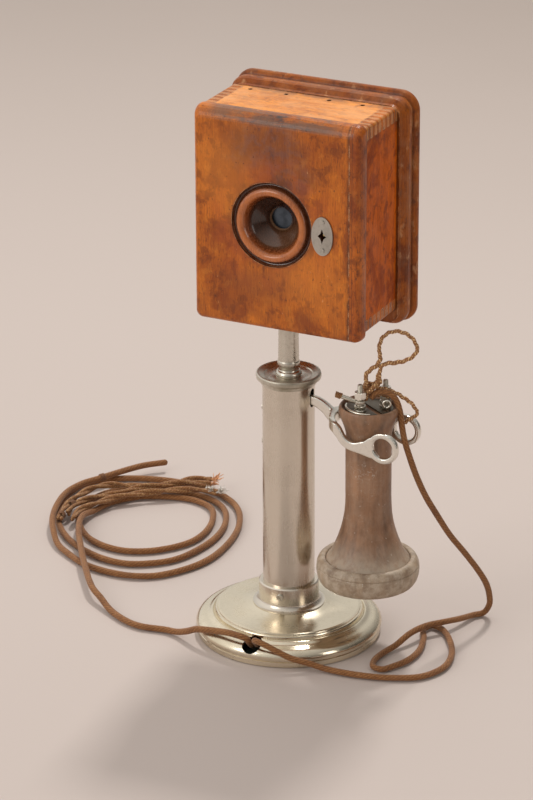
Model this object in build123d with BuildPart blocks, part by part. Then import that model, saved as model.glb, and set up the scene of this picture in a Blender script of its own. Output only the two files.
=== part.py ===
from build123d import *
import os
from math import cos, radians, sin

# Candlestick desk telephone, in mm. A round foot carries a column with the hook switch; a stem
# above it holds the transmitter box, and the receiver hangs in the fork of the hook.
# The column stands on the Z axis, with the felt resting on z = 0. The door and mouthpiece face
# the front (-Y), and the receiver hangs on the right (+X). The cords lie on the table.

os.makedirs("parts", exist_ok=True)

# ================================================================= driving dimensions
GAP = 0.03             # fitting gap between assembled pieces

BASE_R = 69.0          # foot band
PLATEAU_Z = 23.8       # top of the base, where the collar sits
FELT_R, FELT_THICK = 66.0, 1.4
TUBE_R = 19.4          # column tube, outside
TUBE_WALL = 1.6
TUBE_BOTTOM, TUBE_TOP = 1.6, 203.0
TUBE_BORE = TUBE_R - TUBE_WALL
TUBE_FIT = TUBE_R + GAP                 # bore of the pieces slipped over the tube
COLLAR_R = 22.5
CAP_R, CAP_TOP = 24.2, 209.1
STEM_BORE = 3.5
STEM_FOOT_R = 8.0      # stem where it passes through the cap
STEM_END_R = 6.0       # stem end inside the box
STEM_HOLE_R = STEM_END_R + 0.05
CAP_BORE = STEM_FOOT_R + 0.05

BOX_X = 66.3           # half width of the transmitter box
BOX_Y0, BOX_Y1 = -10.0, 43.0
BOX_Z0, BOX_Z1 = 253.0, 409.0
BOX_DEPTH = BOX_Y1 - BOX_Y0
BOX_HEIGHT = BOX_Z1 - BOX_Z0
BOX_MID_Z = (BOX_Z0 + BOX_Z1) / 2
BOX_CORNER = 2.4
WALL = 9.5             # board thickness
BOX_FLOOR = BOX_Z0 + WALL
FINGERS = 15           # box joint segments down the depth of the box
FINGER = BOX_DEPTH / FINGERS
JOINT_GAP = 0.02
TERMINALS = ((-48, 12), (-36, 12), (-48, 28), (-36, 28))          # (x, y) on the box floor
BACK_SCREW_X, BACK_SCREW_Z = 61.5, (268, 396)
BACK_SCREWS = [(x, z) for x in (BACK_SCREW_X, -BACK_SCREW_X) for z in BACK_SCREW_Z]

HINGE_X, HINGE_Y = -67.6, -10.15        # hinge pin axis
HINGE_Z = (272.0, 364.0)                # lower ends of the two hinges
HINGE_LEN = 26.0
KNUCKLE_R, HINGE_PIN_R = 1.75, 0.9
HINGE_BORE = HINGE_PIN_R + 0.05
LEAF_EDGE_X = -57.2
LEAF_WIDTH, LEAF_X = LEAF_EDGE_X - HINGE_X, (HINGE_X + LEAF_EDGE_X) / 2
LEAF_THICK = 1.1

DOOR_FRONT = -20.9
CLEAT_X = 58.0         # joint between the door panel and its right-hand cleat
LOCK_X, LOCK_Z = 37.2, 327.0
BOLT_Y = -5.9
LOCK_SCREWS = ((LOCK_X, LOCK_Z + 10.6), (LOCK_X, LOCK_Z - 10.6))
# four-pointed keyhole, (x, z) from its centre
KEYHOLE_OFFSETS = ((0, 5.8), (1.3, 1.9), (3.5, 0), (1.3, -1.9),
                   (0, -5.8), (-1.3, -1.9), (-3.5, 0), (-1.3, 1.9))
KEYHOLE = [(LOCK_X + dx, LOCK_Z + dz) for dx, dz in KEYHOLE_OFFSETS]

MOUTH_X, MOUTH_Z = -3.5, 329.0          # transmitter axis
MOUTH = (MOUTH_X, MOUTH_Z)
MOUTH_R = 32.0
FLANGE_R = 37.2        # mouthpiece flange and transmitter ring
FLANGE_SCREW_PCR = 34.6                 # pitch circle radius of the four ring screws
FLANGE_HOLE_R = 1.53
TRUNNION = (16.0, 368.5)                # (y, z) pivot of the adjusting lever
ADJUSTER = (MOUTH_X, 292.4)             # (x, z) axis of the adjusting screw

PIVOT = (8.0, 189.5)                    # (x, z) hook lever pivot in the column
SWITCH_SCREWS = ((0, 151), (0, 178))    # (y, z)
CONTACT = (0, 180.5)                    # (y, z) of the switch contacts
FORK_X = 62.6          # centre of the fork curve
FORK_IN, FORK_OUT = 17.7, 22.2          # prong faces, distance from the middle plane
RING_X, RING_Z = 85.9, 170.7            # rings at the ends of the prongs
RING_R, RING_HOLE = 12.0, 7.8

REC_X = 65.2           # receiver axis
REC_R = 17.0           # receiver body
EAR_R = 38.3           # ear cap
POSTS = ((62.0, -8.5), (74.5, 8.5))     # (x, y) of the binding posts
EYE_X, EYE_Y = 79.0, 0.6                # shank of the cord eye
POST_HOLE_R = 2.04
CORD_R = 2.6

AX_Z = Axis((0, 0, 0), (0, 0, 1))
AX_REC = Axis((REC_X, 0, 0), (0, 0, 1))
AX_MOUTH = Axis((MOUTH_X, 0, MOUTH_Z), (0, 1, 0))
# sketch coordinates: (radius, z) for the receiver, (radius, y) for the mouth
REC_PLANE = Plane(origin=(REC_X, 0, 0), x_dir=(1, 0, 0), z_dir=(0, -1, 0))
MOUTH_PLANE = Plane(origin=(MOUTH_X, 0, MOUTH_Z), x_dir=(1, 0, 0), z_dir=(0, 0, 1))
DOOR_FACE = Plane.XZ.offset(-DOOR_FRONT)
# Plane.XZ faces -Y: offset(-y) puts a sketch at y, and a positive extrusion runs forward.


# ================================================================= helpers
def save(shape, name):
    shape.label = name
    export_step(shape, "parts/" + name + ".step")


def disc(plane, centre, radius, thickness, bore=None):
    with BuildPart() as piece:
        with BuildSketch(plane):
            with Locations(centre):
                Circle(radius)
                if bore:
                    Circle(bore, mode=Mode.SUBTRACT)
        extrude(amount=thickness)
    return piece.part


def turned(points, plane, axis):
    """Straight-sided closed profile, revolved about the axis."""
    with BuildPart() as piece:
        with BuildSketch(plane):
            with BuildLine():
                Polyline(*points, close=True)
            make_face()
        revolve(axis=axis)
    return piece.part


def slotted_screws(plane, places, steps, slot):
    """Like screws at each place.

    steps: (plane offset, radius, length) of each cylinder
    slot:  (plane offset, length, width, angle, depth)
    """
    with BuildPart() as screws:
        for offset, radius, length in steps:
            with BuildSketch(plane.offset(offset)):
                with Locations(*places):
                    Circle(radius)
            extrude(amount=length)
        offset, length, width, angle, depth = slot
        with BuildSketch(plane.offset(offset)):
            with Locations(*places):
                Rectangle(length, width, rotation=angle)
        extrude(amount=depth, mode=Mode.SUBTRACT)
    return screws.part


def cord(points):
    with BuildPart() as piece:
        with BuildLine() as path:
            Spline(*points)
        with BuildSketch(Plane(origin=path.line @ 0, z_dir=path.line % 0)):
            Circle(CORD_R)
        sweep()
    return piece.part


# ================================================================= stand
# Turned profiles of the stand are (radius, z).
BASE_OGEE = ((69.4, 5.3), (70.0, 7.8), (68.6, 11.0), (64.6, 13.7), (60.2, 15.1), (57.0, 16.5),
             (55.6, 18.4))
BASE_TOP = ((52.3, 20.6), (44, 21.0), (35, 21.9), (27.5, PLATEAU_Z))
BASE_UNDERSIDE = ((TUBE_FIT, 21.6), (30, 20.0), (44, 18.7), (52.4, 18.2), (54.4, 14.6),
                  (60, 12.6), (65.0, 10.4), (67.2, 7.6), (66.6, 0.4))

# spun foot: bead band, ogee, two small fillets, slightly hollow top
with BuildPart() as base_shell:
    with BuildSketch(Plane.XZ):
        with BuildLine():
            Polyline(BASE_UNDERSIDE[-1], (BASE_R, 0.4), (BASE_R, 4.0), (68.3, 4.6), BASE_OGEE[0])
            Spline(*BASE_OGEE, tangents=((0.4, 1), (0, 1)))
            Polyline(BASE_OGEE[-1], (55.2, 19.2), (54.0, 19.4), (53.7, 20.3), BASE_TOP[0])
            Spline(*BASE_TOP, tangents=((-1, 0.05), (-1, 0.35)))
            Polyline(BASE_TOP[-1], (TUBE_FIT, PLATEAU_Z), *BASE_UNDERSIDE)
        make_face()
    revolve(axis=AX_Z)
    # oval cord hole through the front of the ogee
    with BuildSketch(Plane(origin=(0.3, -62.0, 12.5), x_dir=(1, 0, 0), z_dir=(0, -0.66, 0.75))):
        SlotOverall(16.6, 14.4, rotation=90)
    extrude(amount=12, both=True, mode=Mode.SUBTRACT)
save(base_shell.part, "base_shell")

BALLAST_PROFILE = ((TUBE_FIT, 1.5), (65.8, 1.5), (66.2, 6.8), (64.2, 9.8), (59.4, 12.0),
                   (53.5, 14.0), (51.6, 17.4), (43.5, 18.0), (29.5, 19.3), (TUBE_FIT, 20.9))
with BuildPart() as base_ballast:
    with BuildSketch(Plane.XZ):
        with BuildLine():
            Polyline(*BALLAST_PROFILE, close=True)
        make_face()
    revolve(axis=AX_Z)
    with BuildSketch(Plane.XY.offset(FELT_THICK)):   # radial channel for the two cords
        with Locations((0, -44)):
            Rectangle(20, 56)
    extrude(amount=30, mode=Mode.SUBTRACT)
save(base_ballast.part, "base_ballast")

save(disc(Plane.XY, (0, 0), FELT_R, FELT_THICK), "base_felt")

with BuildPart() as column_tube:
    with BuildSketch(Plane.XY.offset(TUBE_BOTTOM)):
        Circle(TUBE_R)
        Circle(TUBE_BORE, mode=Mode.SUBTRACT)
    extrude(amount=TUBE_TOP - TUBE_BOTTOM)
    with BuildSketch(Plane.YZ.offset(8)):            # slot for the hook lever
        with Locations((0, 191.4)):
            SlotOverall(14.6, 6.4, rotation=90)
    extrude(amount=20, mode=Mode.SUBTRACT)
    with BuildSketch(Plane.XY.offset(1.5)):          # cord notch at the foot
        with Locations((0, -20)):
            Rectangle(13, 20)
    extrude(amount=13.5, mode=Mode.SUBTRACT)
    with BuildSketch(Plane.YZ.offset(-25)):          # screw holes for the switch bracket
        with Locations(*SWITCH_SCREWS):
            Circle(1.35)
    extrude(amount=15, mode=Mode.SUBTRACT)
save(column_tube.part, "column_tube")

COLLAR_SCREW_AZIMUTH = radians(-81.4)
COLLAR_SCREW_Z = 35.4
screw_x, screw_y = cos(COLLAR_SCREW_AZIMUTH), sin(COLLAR_SCREW_AZIMUTH)
COLLAR_SCREW_PLANE = Plane(origin=(COLLAR_R * screw_x, COLLAR_R * screw_y, COLLAR_SCREW_Z),
                           z_dir=(screw_x, screw_y, 0))
COLLAR_SEAT_Z = PLATEAU_Z + 0.02
COLLAR_COVE = ((27.0, 24.5), (24.6, 25.1), (23.2, 26.6), (COLLAR_R, 29.4))
with BuildPart() as column_collar:
    with BuildSketch(Plane.XZ):
        with BuildLine():
            Polyline((TUBE_FIT, COLLAR_SEAT_Z), (26.9, COLLAR_SEAT_Z), COLLAR_COVE[0])
            Spline(*COLLAR_COVE, tangents=((-1, 0.1), (0, 1)))
            Polyline(COLLAR_COVE[-1], (COLLAR_R, 41.0), (21.7, 41.9), (TUBE_FIT, 41.9),
                     (TUBE_FIT, COLLAR_SEAT_Z))
        make_face()
    revolve(axis=AX_Z)
    with BuildSketch(COLLAR_SCREW_PLANE):
        Circle(1.55)
    extrude(amount=-6, mode=Mode.SUBTRACT)
save(column_collar.part, "column_collar")

with BuildPart() as collar_screw:
    with BuildSketch(COLLAR_SCREW_PLANE.offset(0.04)):
        Circle(2.75)
    extrude(amount=1.5)
    # round the outer rim of the head
    beyond_head = COLLAR_SCREW_PLANE.origin + COLLAR_SCREW_PLANE.z_dir * 3
    head_face = collar_screw.faces().sort_by(SortBy.AREA)[-1]
    head_rims = head_face.edges().group_by(SortBy.LENGTH)[-1]
    fillet(head_rims.sort_by_distance(beyond_head)[0:1], 0.6)
    with BuildSketch(COLLAR_SCREW_PLANE.offset(0.04)):
        Circle(1.5)
    extrude(amount=-2.9)
    with BuildSketch(COLLAR_SCREW_PLANE.offset(0.8)):
        Rectangle(0.7, 7, rotation=40)
    extrude(amount=3, mode=Mode.SUBTRACT)
save(collar_screw.part, "collar_screw")

CAP_SEAT_Z = TUBE_TOP + 0.05
CAP_COVE = ((20.7, 202.3), (21.2, 203.6), (22.4, 204.5), (24.0, 205.0))
CAP_RIM = (CAP_COVE[-1], (CAP_R, 206.8), (23.2, CAP_TOP))
CAP_RIM_INNER = (CAP_RIM[-1], (21.4, 208.8), (18.2, 207.6))
CAP_DISH = ((17.0, 206.9), (13.0, 206.3), (9.8, 206.6))
with BuildPart() as column_cap:
    with BuildSketch(Plane.XZ):
        with BuildLine():
            Polyline((CAP_BORE, 199.0), (TUBE_BORE - GAP, 199.0), (TUBE_BORE - GAP, CAP_SEAT_Z),
                     (TUBE_FIT, CAP_SEAT_Z), (TUBE_FIT, 200.8), (20.6, 200.8), CAP_COVE[0])
            Spline(*CAP_COVE, tangents=((0, 1), (1, 0.1)))
            Spline(*CAP_RIM, tangents=((0.5, 1), (-1, 0.35)))
            Spline(*CAP_RIM_INNER, tangents=((-1, 0.1), (-1, -0.3)))
            Polyline(CAP_RIM_INNER[-1], (17.6, 206.9), CAP_DISH[0])
            Spline(*CAP_DISH, tangents=((-1, -0.2), (-1, 0.2)))
            Polyline(CAP_DISH[-1], (CAP_BORE, 206.6), (CAP_BORE, 199.0))
        make_face()
    revolve(axis=AX_Z)
save(column_cap.part, "column_cap")

STEM_Z0, STEM_Z1 = 199.05, 273.0
STEM_SHOULDER_Z = BOX_Z0 - GAP
STEM_BEAD = ((9.3, 206.65), (9.75, 208.2), (9.0, 210.0), (7.7, 210.9))
STEM_NECK = (STEM_BEAD[-1], (7.35, 212.2), (7.8, 213.6))
STEM_SWELL = (STEM_NECK[-1], (8.35, 216.0), (7.9, 218.6))
with BuildPart() as stem:
    with BuildSketch(Plane.XZ):
        with BuildLine():
            Polyline((STEM_BORE, STEM_Z0), (STEM_FOOT_R, STEM_Z0), (STEM_FOOT_R, 206.65),
                     STEM_BEAD[0])
            Spline(*STEM_BEAD, tangents=((0.4, 1), (-1, 0.4)))
            Spline(*STEM_NECK, tangents=((-0.6, 1), (0.8, 1)))
            Spline(*STEM_SWELL, tangents=((0.6, 1), (-0.6, 1)))
            Polyline(STEM_SWELL[-1], (7.8, 219.6), (7.6, 232), (7.4, STEM_SHOULDER_Z),
                     (STEM_END_R, STEM_SHOULDER_Z), (STEM_END_R, STEM_Z1),
                     (STEM_BORE, STEM_Z1), (STEM_BORE, STEM_Z0))
        make_face()
    revolve(axis=AX_Z)
save(stem.part, "stem")

with BuildPart() as stem_nut:                        # washer and hexagon nut inside the box
    with BuildSketch(Plane.XY.offset(BOX_FLOOR + GAP)):
        Circle(9.4)
        Circle(STEM_END_R + 0.1, mode=Mode.SUBTRACT)
    extrude(amount=1.4)
    with BuildSketch(Plane.XY.offset(BOX_FLOOR + 1.48)):
        RegularPolygon(9.2, 6)
        Circle(STEM_HOLE_R, mode=Mode.SUBTRACT)
    extrude(amount=6)
save(stem_nut.part, "stem_nut")

# ================================================================= hook switch
# bracket inside the tube: back plate with a pad, and two cheeks for the pivot pin
with BuildPart() as hook_bracket:
    with BuildSketch(Plane.XY.offset(143)):
        with Locations((-12.5, 0)):
            Rectangle(2.0, 13)
        with Locations((-15.2, 0)):
            Rectangle(3.6, 7.0)
    extrude(amount=54)
    for side in (1, -1):
        with BuildSketch(Plane.XY.offset(185)):
            with Locations((0.5, side * 5.6)):
                Rectangle(25.6, 1.6)
        extrude(amount=10.5)
    with BuildSketch(Plane.XZ):
        with Locations(PIVOT):
            Circle(1.5)
    extrude(amount=20, both=True, mode=Mode.SUBTRACT)
    with BuildSketch(Plane.YZ.offset(-25)):
        with Locations(*SWITCH_SCREWS):
            Circle(1.26)
    extrude(amount=30, mode=Mode.SUBTRACT)
save(hook_bracket.part, "hook_bracket")

save(disc(Plane.XZ.offset(-7.2), PIVOT, 1.45, 14.4), "hook_pin")

# lever outline seen from the front, (x, z), in runs that join end to end
LEVER_TAIL = ((6.2, 176.0), (6.2, 186.0), (-7.0, 187.0), (-7.0, 192.4), (8.0, 193.7),
              (17.0, 193.6))
LEVER_TOP_IN = (LEVER_TAIL[-1], (22.3, 193.2), (30.5, 190.0), (37.0, 185.6), (42.0, 184.6))
LEVER_TOP_OUT = (LEVER_TOP_IN[-1], (47.5, 184.3), (51.6, 181.0), (54.2, 176.4), (58.0, 172.6),
                 (63.2, 171.6), (69.0, 173.6), (75.2, 177.8))
LEVER_UNDER_OUT = ((77.2, 161.6), (72.0, 162.6), (66.2, 163.8), (57.8, 165.5), (51.2, 170.4),
                   (47.4, 175.2), (44.0, 176.4))
LEVER_UNDER_IN = (LEVER_UNDER_OUT[-1], (38.2, 175.6), (34.2, 176.2), (29.4, 181.2),
                  (22.3, 185.6), (17.0, 186.2))
TRIM_Y = 40.0          # centre of the rectangles that trim the faces of the prongs

# The side outline is crossed with the plan outline, so every face is flat or a single bend.
with BuildPart() as hook_lever:
    with BuildSketch(Plane.XZ):
        with BuildLine():
            Polyline(*LEVER_TAIL)
            Spline(*LEVER_TOP_IN, tangents=((1, 0), (1, 0)))
            Spline(*LEVER_TOP_OUT, tangents=((1, 0), (1, 0.9)))
            Line(LEVER_TOP_OUT[-1], (RING_X, RING_Z))
            Line((RING_X, RING_Z), LEVER_UNDER_OUT[0])
            Spline(*LEVER_UNDER_OUT, tangents=((-1, 0.1), (-1, 0)))
            Spline(*LEVER_UNDER_IN, tangents=((-1, 0), (-1, 0)))
            Polyline(LEVER_UNDER_IN[-1], (9.0, 185.6), (8.6, 176.0), LEVER_TAIL[0])
        make_face()
        with Locations((RING_X, RING_Z)):
            Circle(RING_R)
            Circle(RING_HOLE, mode=Mode.SUBTRACT)
        with Locations(PIVOT):
            Circle(1.5, mode=Mode.SUBTRACT)
    extrude(amount=30, both=True)
    with BuildSketch(Plane.XY.offset(140)):
        with Locations((18, 0)):                     # shank
            Rectangle(60, 5.0)
        with Locations((FORK_X, 0)):
            Circle(27.1)
        with Locations((FORK_X + 30, 0)):
            Rectangle(60, 60)
        with Locations((50, TRIM_Y), (50, -TRIM_Y)):
            Rectangle(160, 2 * (TRIM_Y - FORK_OUT), mode=Mode.SUBTRACT)
        with BuildSketch(mode=Mode.SUBTRACT):        # opening between the prongs
            with Locations((FORK_X, 0)):
                Circle(22.6)
            with Locations((FORK_X + 30, 0)):
                Rectangle(60, 60)
            with Locations((50, TRIM_Y), (50, -TRIM_Y)):
                Rectangle(160, 2 * (TRIM_Y - FORK_IN), mode=Mode.SUBTRACT)
    extrude(amount=80, mode=Mode.INTERSECT)
save(hook_lever.part, "hook_lever")

SPRING_X, SPRING_Z, SPRING_R = -4.4, 161.0, 2.1
SPRING_TURNS, SPRING_PITCH, SPRING_WIRE_R = 16, 1.3, 0.7
with BuildPart() as hook_spring:                     # close-wound lifting spring, as stacked rings
    with BuildSketch(Plane.XZ):
        for i in range(SPRING_TURNS):
            with Locations((SPRING_X + SPRING_R, SPRING_Z + SPRING_PITCH * i)):
                Circle(SPRING_WIRE_R)
    revolve(axis=Axis((SPRING_X, 0, 0), (0, 0, 1)))
save(hook_spring.part, "hook_spring")

with BuildPart() as switch_block:                    # hard rubber block for the contact springs
    with BuildSketch(Plane.XY.offset(145)):
        with Locations((-1.3, 0)):
            Rectangle(20.2, 10)
        with Locations((11.9, 0)):
            Rectangle(4.6, 8)
    extrude(amount=12)
    with BuildSketch(Plane.YZ.offset(-14)):
        with Locations(SWITCH_SCREWS[0]):
            Circle(1.33)
    extrude(amount=30, mode=Mode.SUBTRACT)
save(switch_block.part, "switch_block")

BLADE_THICK, BLADE_WIDTH = 0.6, 5.6
CONTACT_R, CONTACT_THICK = 1.3, 0.7
with BuildPart() as moving_contact_spring:
    with BuildSketch(Plane.XY.offset(157.6)):
        with Locations((11.0, 0)):
            Rectangle(BLADE_THICK, BLADE_WIDTH)
    extrude(amount=25)
    with BuildSketch(Plane.YZ.offset(11.28)):
        with Locations(CONTACT):
            Circle(CONTACT_R)
    extrude(amount=CONTACT_THICK)
save(moving_contact_spring.part, "moving_contact_spring")

with BuildPart() as fixed_contact_spring:
    with BuildSketch(Plane.XY.offset(147)):
        with Locations((14.55, 0)):
            Rectangle(BLADE_THICK, BLADE_WIDTH)
    extrude(amount=36)
    with BuildSketch(Plane.YZ.offset(14.3)):
        with Locations(CONTACT):
            Circle(CONTACT_R)
    extrude(amount=-CONTACT_THICK)
    with BuildSketch(Plane.YZ.offset(10)):
        with Locations(SWITCH_SCREWS[0]):
            Circle(1.33)
    extrude(amount=10, mode=Mode.SUBTRACT)
save(fixed_contact_spring.part, "fixed_contact_spring")

SWITCH_SCREW_TIPS = (16.2, -12.2)                    # x of the screw tips, lower screw first
with BuildPart() as switch_screws:
    for place, tip_x in zip(SWITCH_SCREWS, SWITCH_SCREW_TIPS):
        with BuildSketch(Plane.YZ.offset(-21.1)):
            with Locations(place):
                Circle(2.6)
        extrude(amount=1.6)
        with BuildSketch(Plane.YZ.offset(-20)):
            with Locations(place):
                Circle(1.22)
        extrude(amount=20 + tip_x)
    with BuildSketch(Plane.YZ.offset(-21.2)):
        with Locations(*SWITCH_SCREWS):
            Rectangle(6, 0.7)
    extrude(amount=0.8, mode=Mode.SUBTRACT)
save(switch_screws.part, "switch_screws")

# wires from the cords up the column, through the stem and to the terminals in the box
LEAD_R = 0.75
leads = []
for side in (1, -1):
    with BuildPart() as lead:
        with BuildLine() as path:
            Polyline((side * 3.0, -30, 6.4), (side * 3.0, -14, 6.4), (side * 12.5, 0, 24.0),
                     (side * 0.1, side * 14.5, 60.0), (0, side * 14.5, 190.0),
                     (0, side * 9.0, 196.0), (0, side * 1.6, 198.0), (0, side * 1.6, 275.0),
                     (-16, 14 + side * 3, 277.0), (-28.0, 20 + side * 8, 273.0),
                     (-36.0, 20 + side * 8, 270.4))
        with BuildSketch(Plane(origin=path.line @ 0, z_dir=path.line % 0)):
            Circle(LEAD_R)
        sweep(transition=Transition.ROUND)
    leads.append(lead.part.solids()[0])
save(Compound(leads), "inner_leads")


# ================================================================= transmitter box
def level_board(trim_z, trim_height, joint_z, holes):
    """Top or bottom board: the box block trimmed away from trim_z, with side joints and holes.

    holes: (x, y, radius)
    """
    with BuildPart() as board:
        with BuildSketch(Plane.XZ.offset(-BOX_Y1)):
            with Locations((0, BOX_MID_Z)):
                RectangleRounded(2 * BOX_X, BOX_HEIGHT, BOX_CORNER)
        extrude(amount=BOX_DEPTH)
        with BuildSketch(Plane.XY.offset(trim_z)):
            with Locations((0, 16.5)):
                Rectangle(200, 100)
        extrude(amount=trim_height, mode=Mode.SUBTRACT)
        with BuildSketch(Plane.XY.offset(joint_z)):
            for i in range(1, FINGERS, 2):
                for side in (1, -1):
                    with Locations((side * (BOX_X - WALL / 2 + 2 - JOINT_GAP),
                                    BOX_Y0 + (i + 0.5) * FINGER)):
                        Rectangle(WALL + 4, FINGER + 2 * JOINT_GAP)
        extrude(amount=WALL + 3, mode=Mode.SUBTRACT)
        with BuildSketch(Plane.XY.offset(joint_z)):
            for x, y, radius in holes:
                with Locations((x, y)):
                    Circle(radius)
        extrude(amount=WALL + 3, mode=Mode.SUBTRACT)
    return board.part


TOP_HOLES = [(x, 36.8, 1.6) for x in (-48.5, -19.4, 15.0, 41.5)]
BOTTOM_HOLES = [(0, 0, STEM_HOLE_R)] + [(x, y, 1.62) for x, y in TERMINALS]
save(level_board(BOX_Z0 - 5, BOX_HEIGHT - WALL + 5, BOX_Z1 - WALL - 1, TOP_HOLES), "box_top")
save(level_board(BOX_FLOOR, 200, BOX_Z0 - 1, BOTTOM_HOLES), "box_bottom")

for side, name in ((-1, "box_side_left"), (1, "box_side_right")):
    with BuildPart() as side_board:
        with BuildSketch(Plane.XZ.offset(-BOX_Y1)):
            with Locations((0, BOX_MID_Z)):
                RectangleRounded(2 * BOX_X, BOX_HEIGHT, BOX_CORNER)
        extrude(amount=BOX_DEPTH)
        with BuildSketch(Plane.XZ.offset(-BOX_Y1 - 1)):
            with Locations((side * (BOX_X - WALL - 100), 330)):
                Rectangle(200, 300)
        extrude(amount=BOX_DEPTH + 2, mode=Mode.SUBTRACT)
        for joint_z in (BOX_Z0 - 2, BOX_Z1 - WALL - JOINT_GAP):
            with BuildSketch(Plane.XY.offset(joint_z)):
                for i in range(0, FINGERS, 2):
                    front = BOX_Y0 + i * FINGER - (1 if i == 0 else JOINT_GAP)
                    back = BOX_Y0 + (i + 1) * FINGER + (1 if i == FINGERS - 1 else JOINT_GAP)
                    with Locations((side * (BOX_X - WALL / 2), (front + back) / 2)):
                        Rectangle(WALL + 2, back - front)
            extrude(amount=WALL + 2 + JOINT_GAP, mode=Mode.SUBTRACT)
        if side > 0:                                 # strike mortise for the lock bolt
            with BuildSketch(Plane.YZ.offset(BOX_X - WALL - 1)):
                with Locations((BOLT_Y, LOCK_Z)):
                    Rectangle(4.2, 9.4)
            extrude(amount=6.4, mode=Mode.SUBTRACT)
        else:                                        # gains for the two hinge leaves
            for z in HINGE_Z:
                with BuildSketch(Plane.XY.offset(z - 0.05)):
                    with Locations((-BOX_X + 3.9, BOX_Y0)):
                        Rectangle(12, 2.7)
                extrude(amount=HINGE_LEN + 0.1, mode=Mode.SUBTRACT)
        with BuildSketch(Plane.XZ.offset(-BOX_Y1 + 12)):   # pilot holes for back board screws
            with Locations(*[(side * BACK_SCREW_X, z) for z in BACK_SCREW_Z]):
                Circle(1.52)
        extrude(amount=-14, mode=Mode.SUBTRACT)
    save(side_board.part, name)

BACK_Z0, BACK_Z1 = 237.0, 415.0
BACK_HALF_WIDTH, BACK_CORNER = 73.6, 14.0            # at the fullest section
# (y, half width) of the moulding: cove, half round, quirk, half round
BACK_SECTIONS = (
    (43.02, 68.0), (45.4, 67.4), (47.4, 67.9), (48.7, 69.4), (50.2, 71.0), (52.4, 71.8),
    (55.6, 71.9), (58.2, 71.3), (59.9, 70.3), (60.8, 69.6), (61.8, 69.9), (62.5, 71.5),
    (63.4, 72.9), (64.6, 73.6), (66.8, 73.6), (68.0, 72.9))
with BuildPart() as back_board:
    for y, half_width in BACK_SECTIONS:
        inset = BACK_HALF_WIDTH - half_width
        with BuildSketch(Plane.XZ.offset(-y)):
            with Locations((0, (BACK_Z0 + BACK_Z1) / 2)):
                RectangleRounded(2 * half_width, BACK_Z1 - BACK_Z0 - 2 * inset,
                                 BACK_CORNER - inset)
    loft(ruled=True)
    with BuildSketch(Plane.XZ.offset(-42)):
        with Locations(*BACK_SCREWS):
            Circle(1.53)
    extrude(amount=-30, mode=Mode.SUBTRACT)
    with BuildSketch(Plane.XZ.offset(-65.5)):        # recesses for the screw heads
        with Locations(*BACK_SCREWS):
            Circle(3.6)
    extrude(amount=-10, mode=Mode.SUBTRACT)
save(back_board.part, "back_board")

save(slotted_screws(Plane.XZ, BACK_SCREWS,
                    steps=((-65.55, 3.4, -2.0), (-33, 1.48, -33)),
                    slot=(-66.8, 8, 0.8, 30, -3)), "back_board_screws")

# ---- hinges: three knuckles each, two on the box leaf and one on the door leaf
with BuildPart() as box_hinge_leaves:
    for z in HINGE_Z:
        with BuildSketch(Plane.XY.offset(z)):
            with Locations((LEAF_X, -9.4)):
                Rectangle(LEAF_WIDTH, LEAF_THICK)
        extrude(amount=HINGE_LEN)
        with BuildSketch(Plane.XY.offset(z)):
            with Locations((HINGE_X, HINGE_Y)):
                Circle(KNUCKLE_R)
        extrude(amount=HINGE_LEN)
        with BuildSketch(Plane.XY.offset(z + 8.6)):  # room for the middle knuckle
            with Locations((HINGE_X, HINGE_Y)):
                Rectangle(6.2, 6)
        extrude(amount=8.8, mode=Mode.SUBTRACT)
    with BuildSketch(Plane.XY.offset(260)):
        with Locations((HINGE_X, HINGE_Y)):
            Circle(HINGE_BORE)
    extrude(amount=140, mode=Mode.SUBTRACT)
save(box_hinge_leaves.part, "box_hinge_leaves")

with BuildPart() as hinge_pins:
    for z in HINGE_Z:
        with BuildSketch(Plane.XY.offset(z - 1.2)):
            with Locations((HINGE_X, HINGE_Y)):
                Circle(HINGE_PIN_R)
        extrude(amount=HINGE_LEN + 2.4)
save(hinge_pins.part, "hinge_pins")

with BuildPart() as door_hinge_leaves:
    for z in HINGE_Z:
        with BuildSketch(Plane.XY.offset(z)):
            with Locations((LEAF_X, -10.9)):
                Rectangle(LEAF_WIDTH, LEAF_THICK)
        extrude(amount=HINGE_LEN)
        for notch_z in (z - 0.1, z + 17.2):          # room for the outer knuckles
            with BuildSketch(Plane.XY.offset(notch_z)):
                with Locations((HINGE_X, HINGE_Y)):
                    Rectangle(6.2, 6)
            extrude(amount=8.9, mode=Mode.SUBTRACT)
        with BuildSketch(Plane.XY.offset(z + 8.8)):
            with Locations((HINGE_X, HINGE_Y)):
                Circle(KNUCKLE_R)
        extrude(amount=8.4)
    with BuildSketch(Plane.XY.offset(260)):
        with Locations((HINGE_X, HINGE_Y)):
            Circle(HINGE_BORE)
    extrude(amount=140, mode=Mode.SUBTRACT)
save(door_hinge_leaves.part, "door_hinge_leaves")

# ---- induction coil standing in the back right corner of the box
COIL = (41.0, 29.5)                     # (x, y) of its axis
COIL_Z0, COIL_Z1 = 264.0, 350.0
COIL_FLANGE = 4.0
COIL_TUBE_R, COIL_BORE = 5.4, 4.3
COIL_GAP = 0.05
with BuildPart() as induction_spool:
    for z in (COIL_Z0, COIL_Z1 - COIL_FLANGE):
        with BuildSketch(Plane.XY.offset(z)):
            with Locations(COIL):
                RectangleRounded(26, 26, 2)
        extrude(amount=COIL_FLANGE)
    with BuildSketch(Plane.XY.offset(COIL_Z0)):
        with Locations(COIL):
            Circle(COIL_TUBE_R)
    extrude(amount=COIL_Z1 - COIL_Z0)
    with BuildSketch(Plane.XY.offset(260)):
        with Locations(COIL):
            Circle(COIL_BORE)
    extrude(amount=100, mode=Mode.SUBTRACT)
save(induction_spool.part, "induction_spool")

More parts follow.
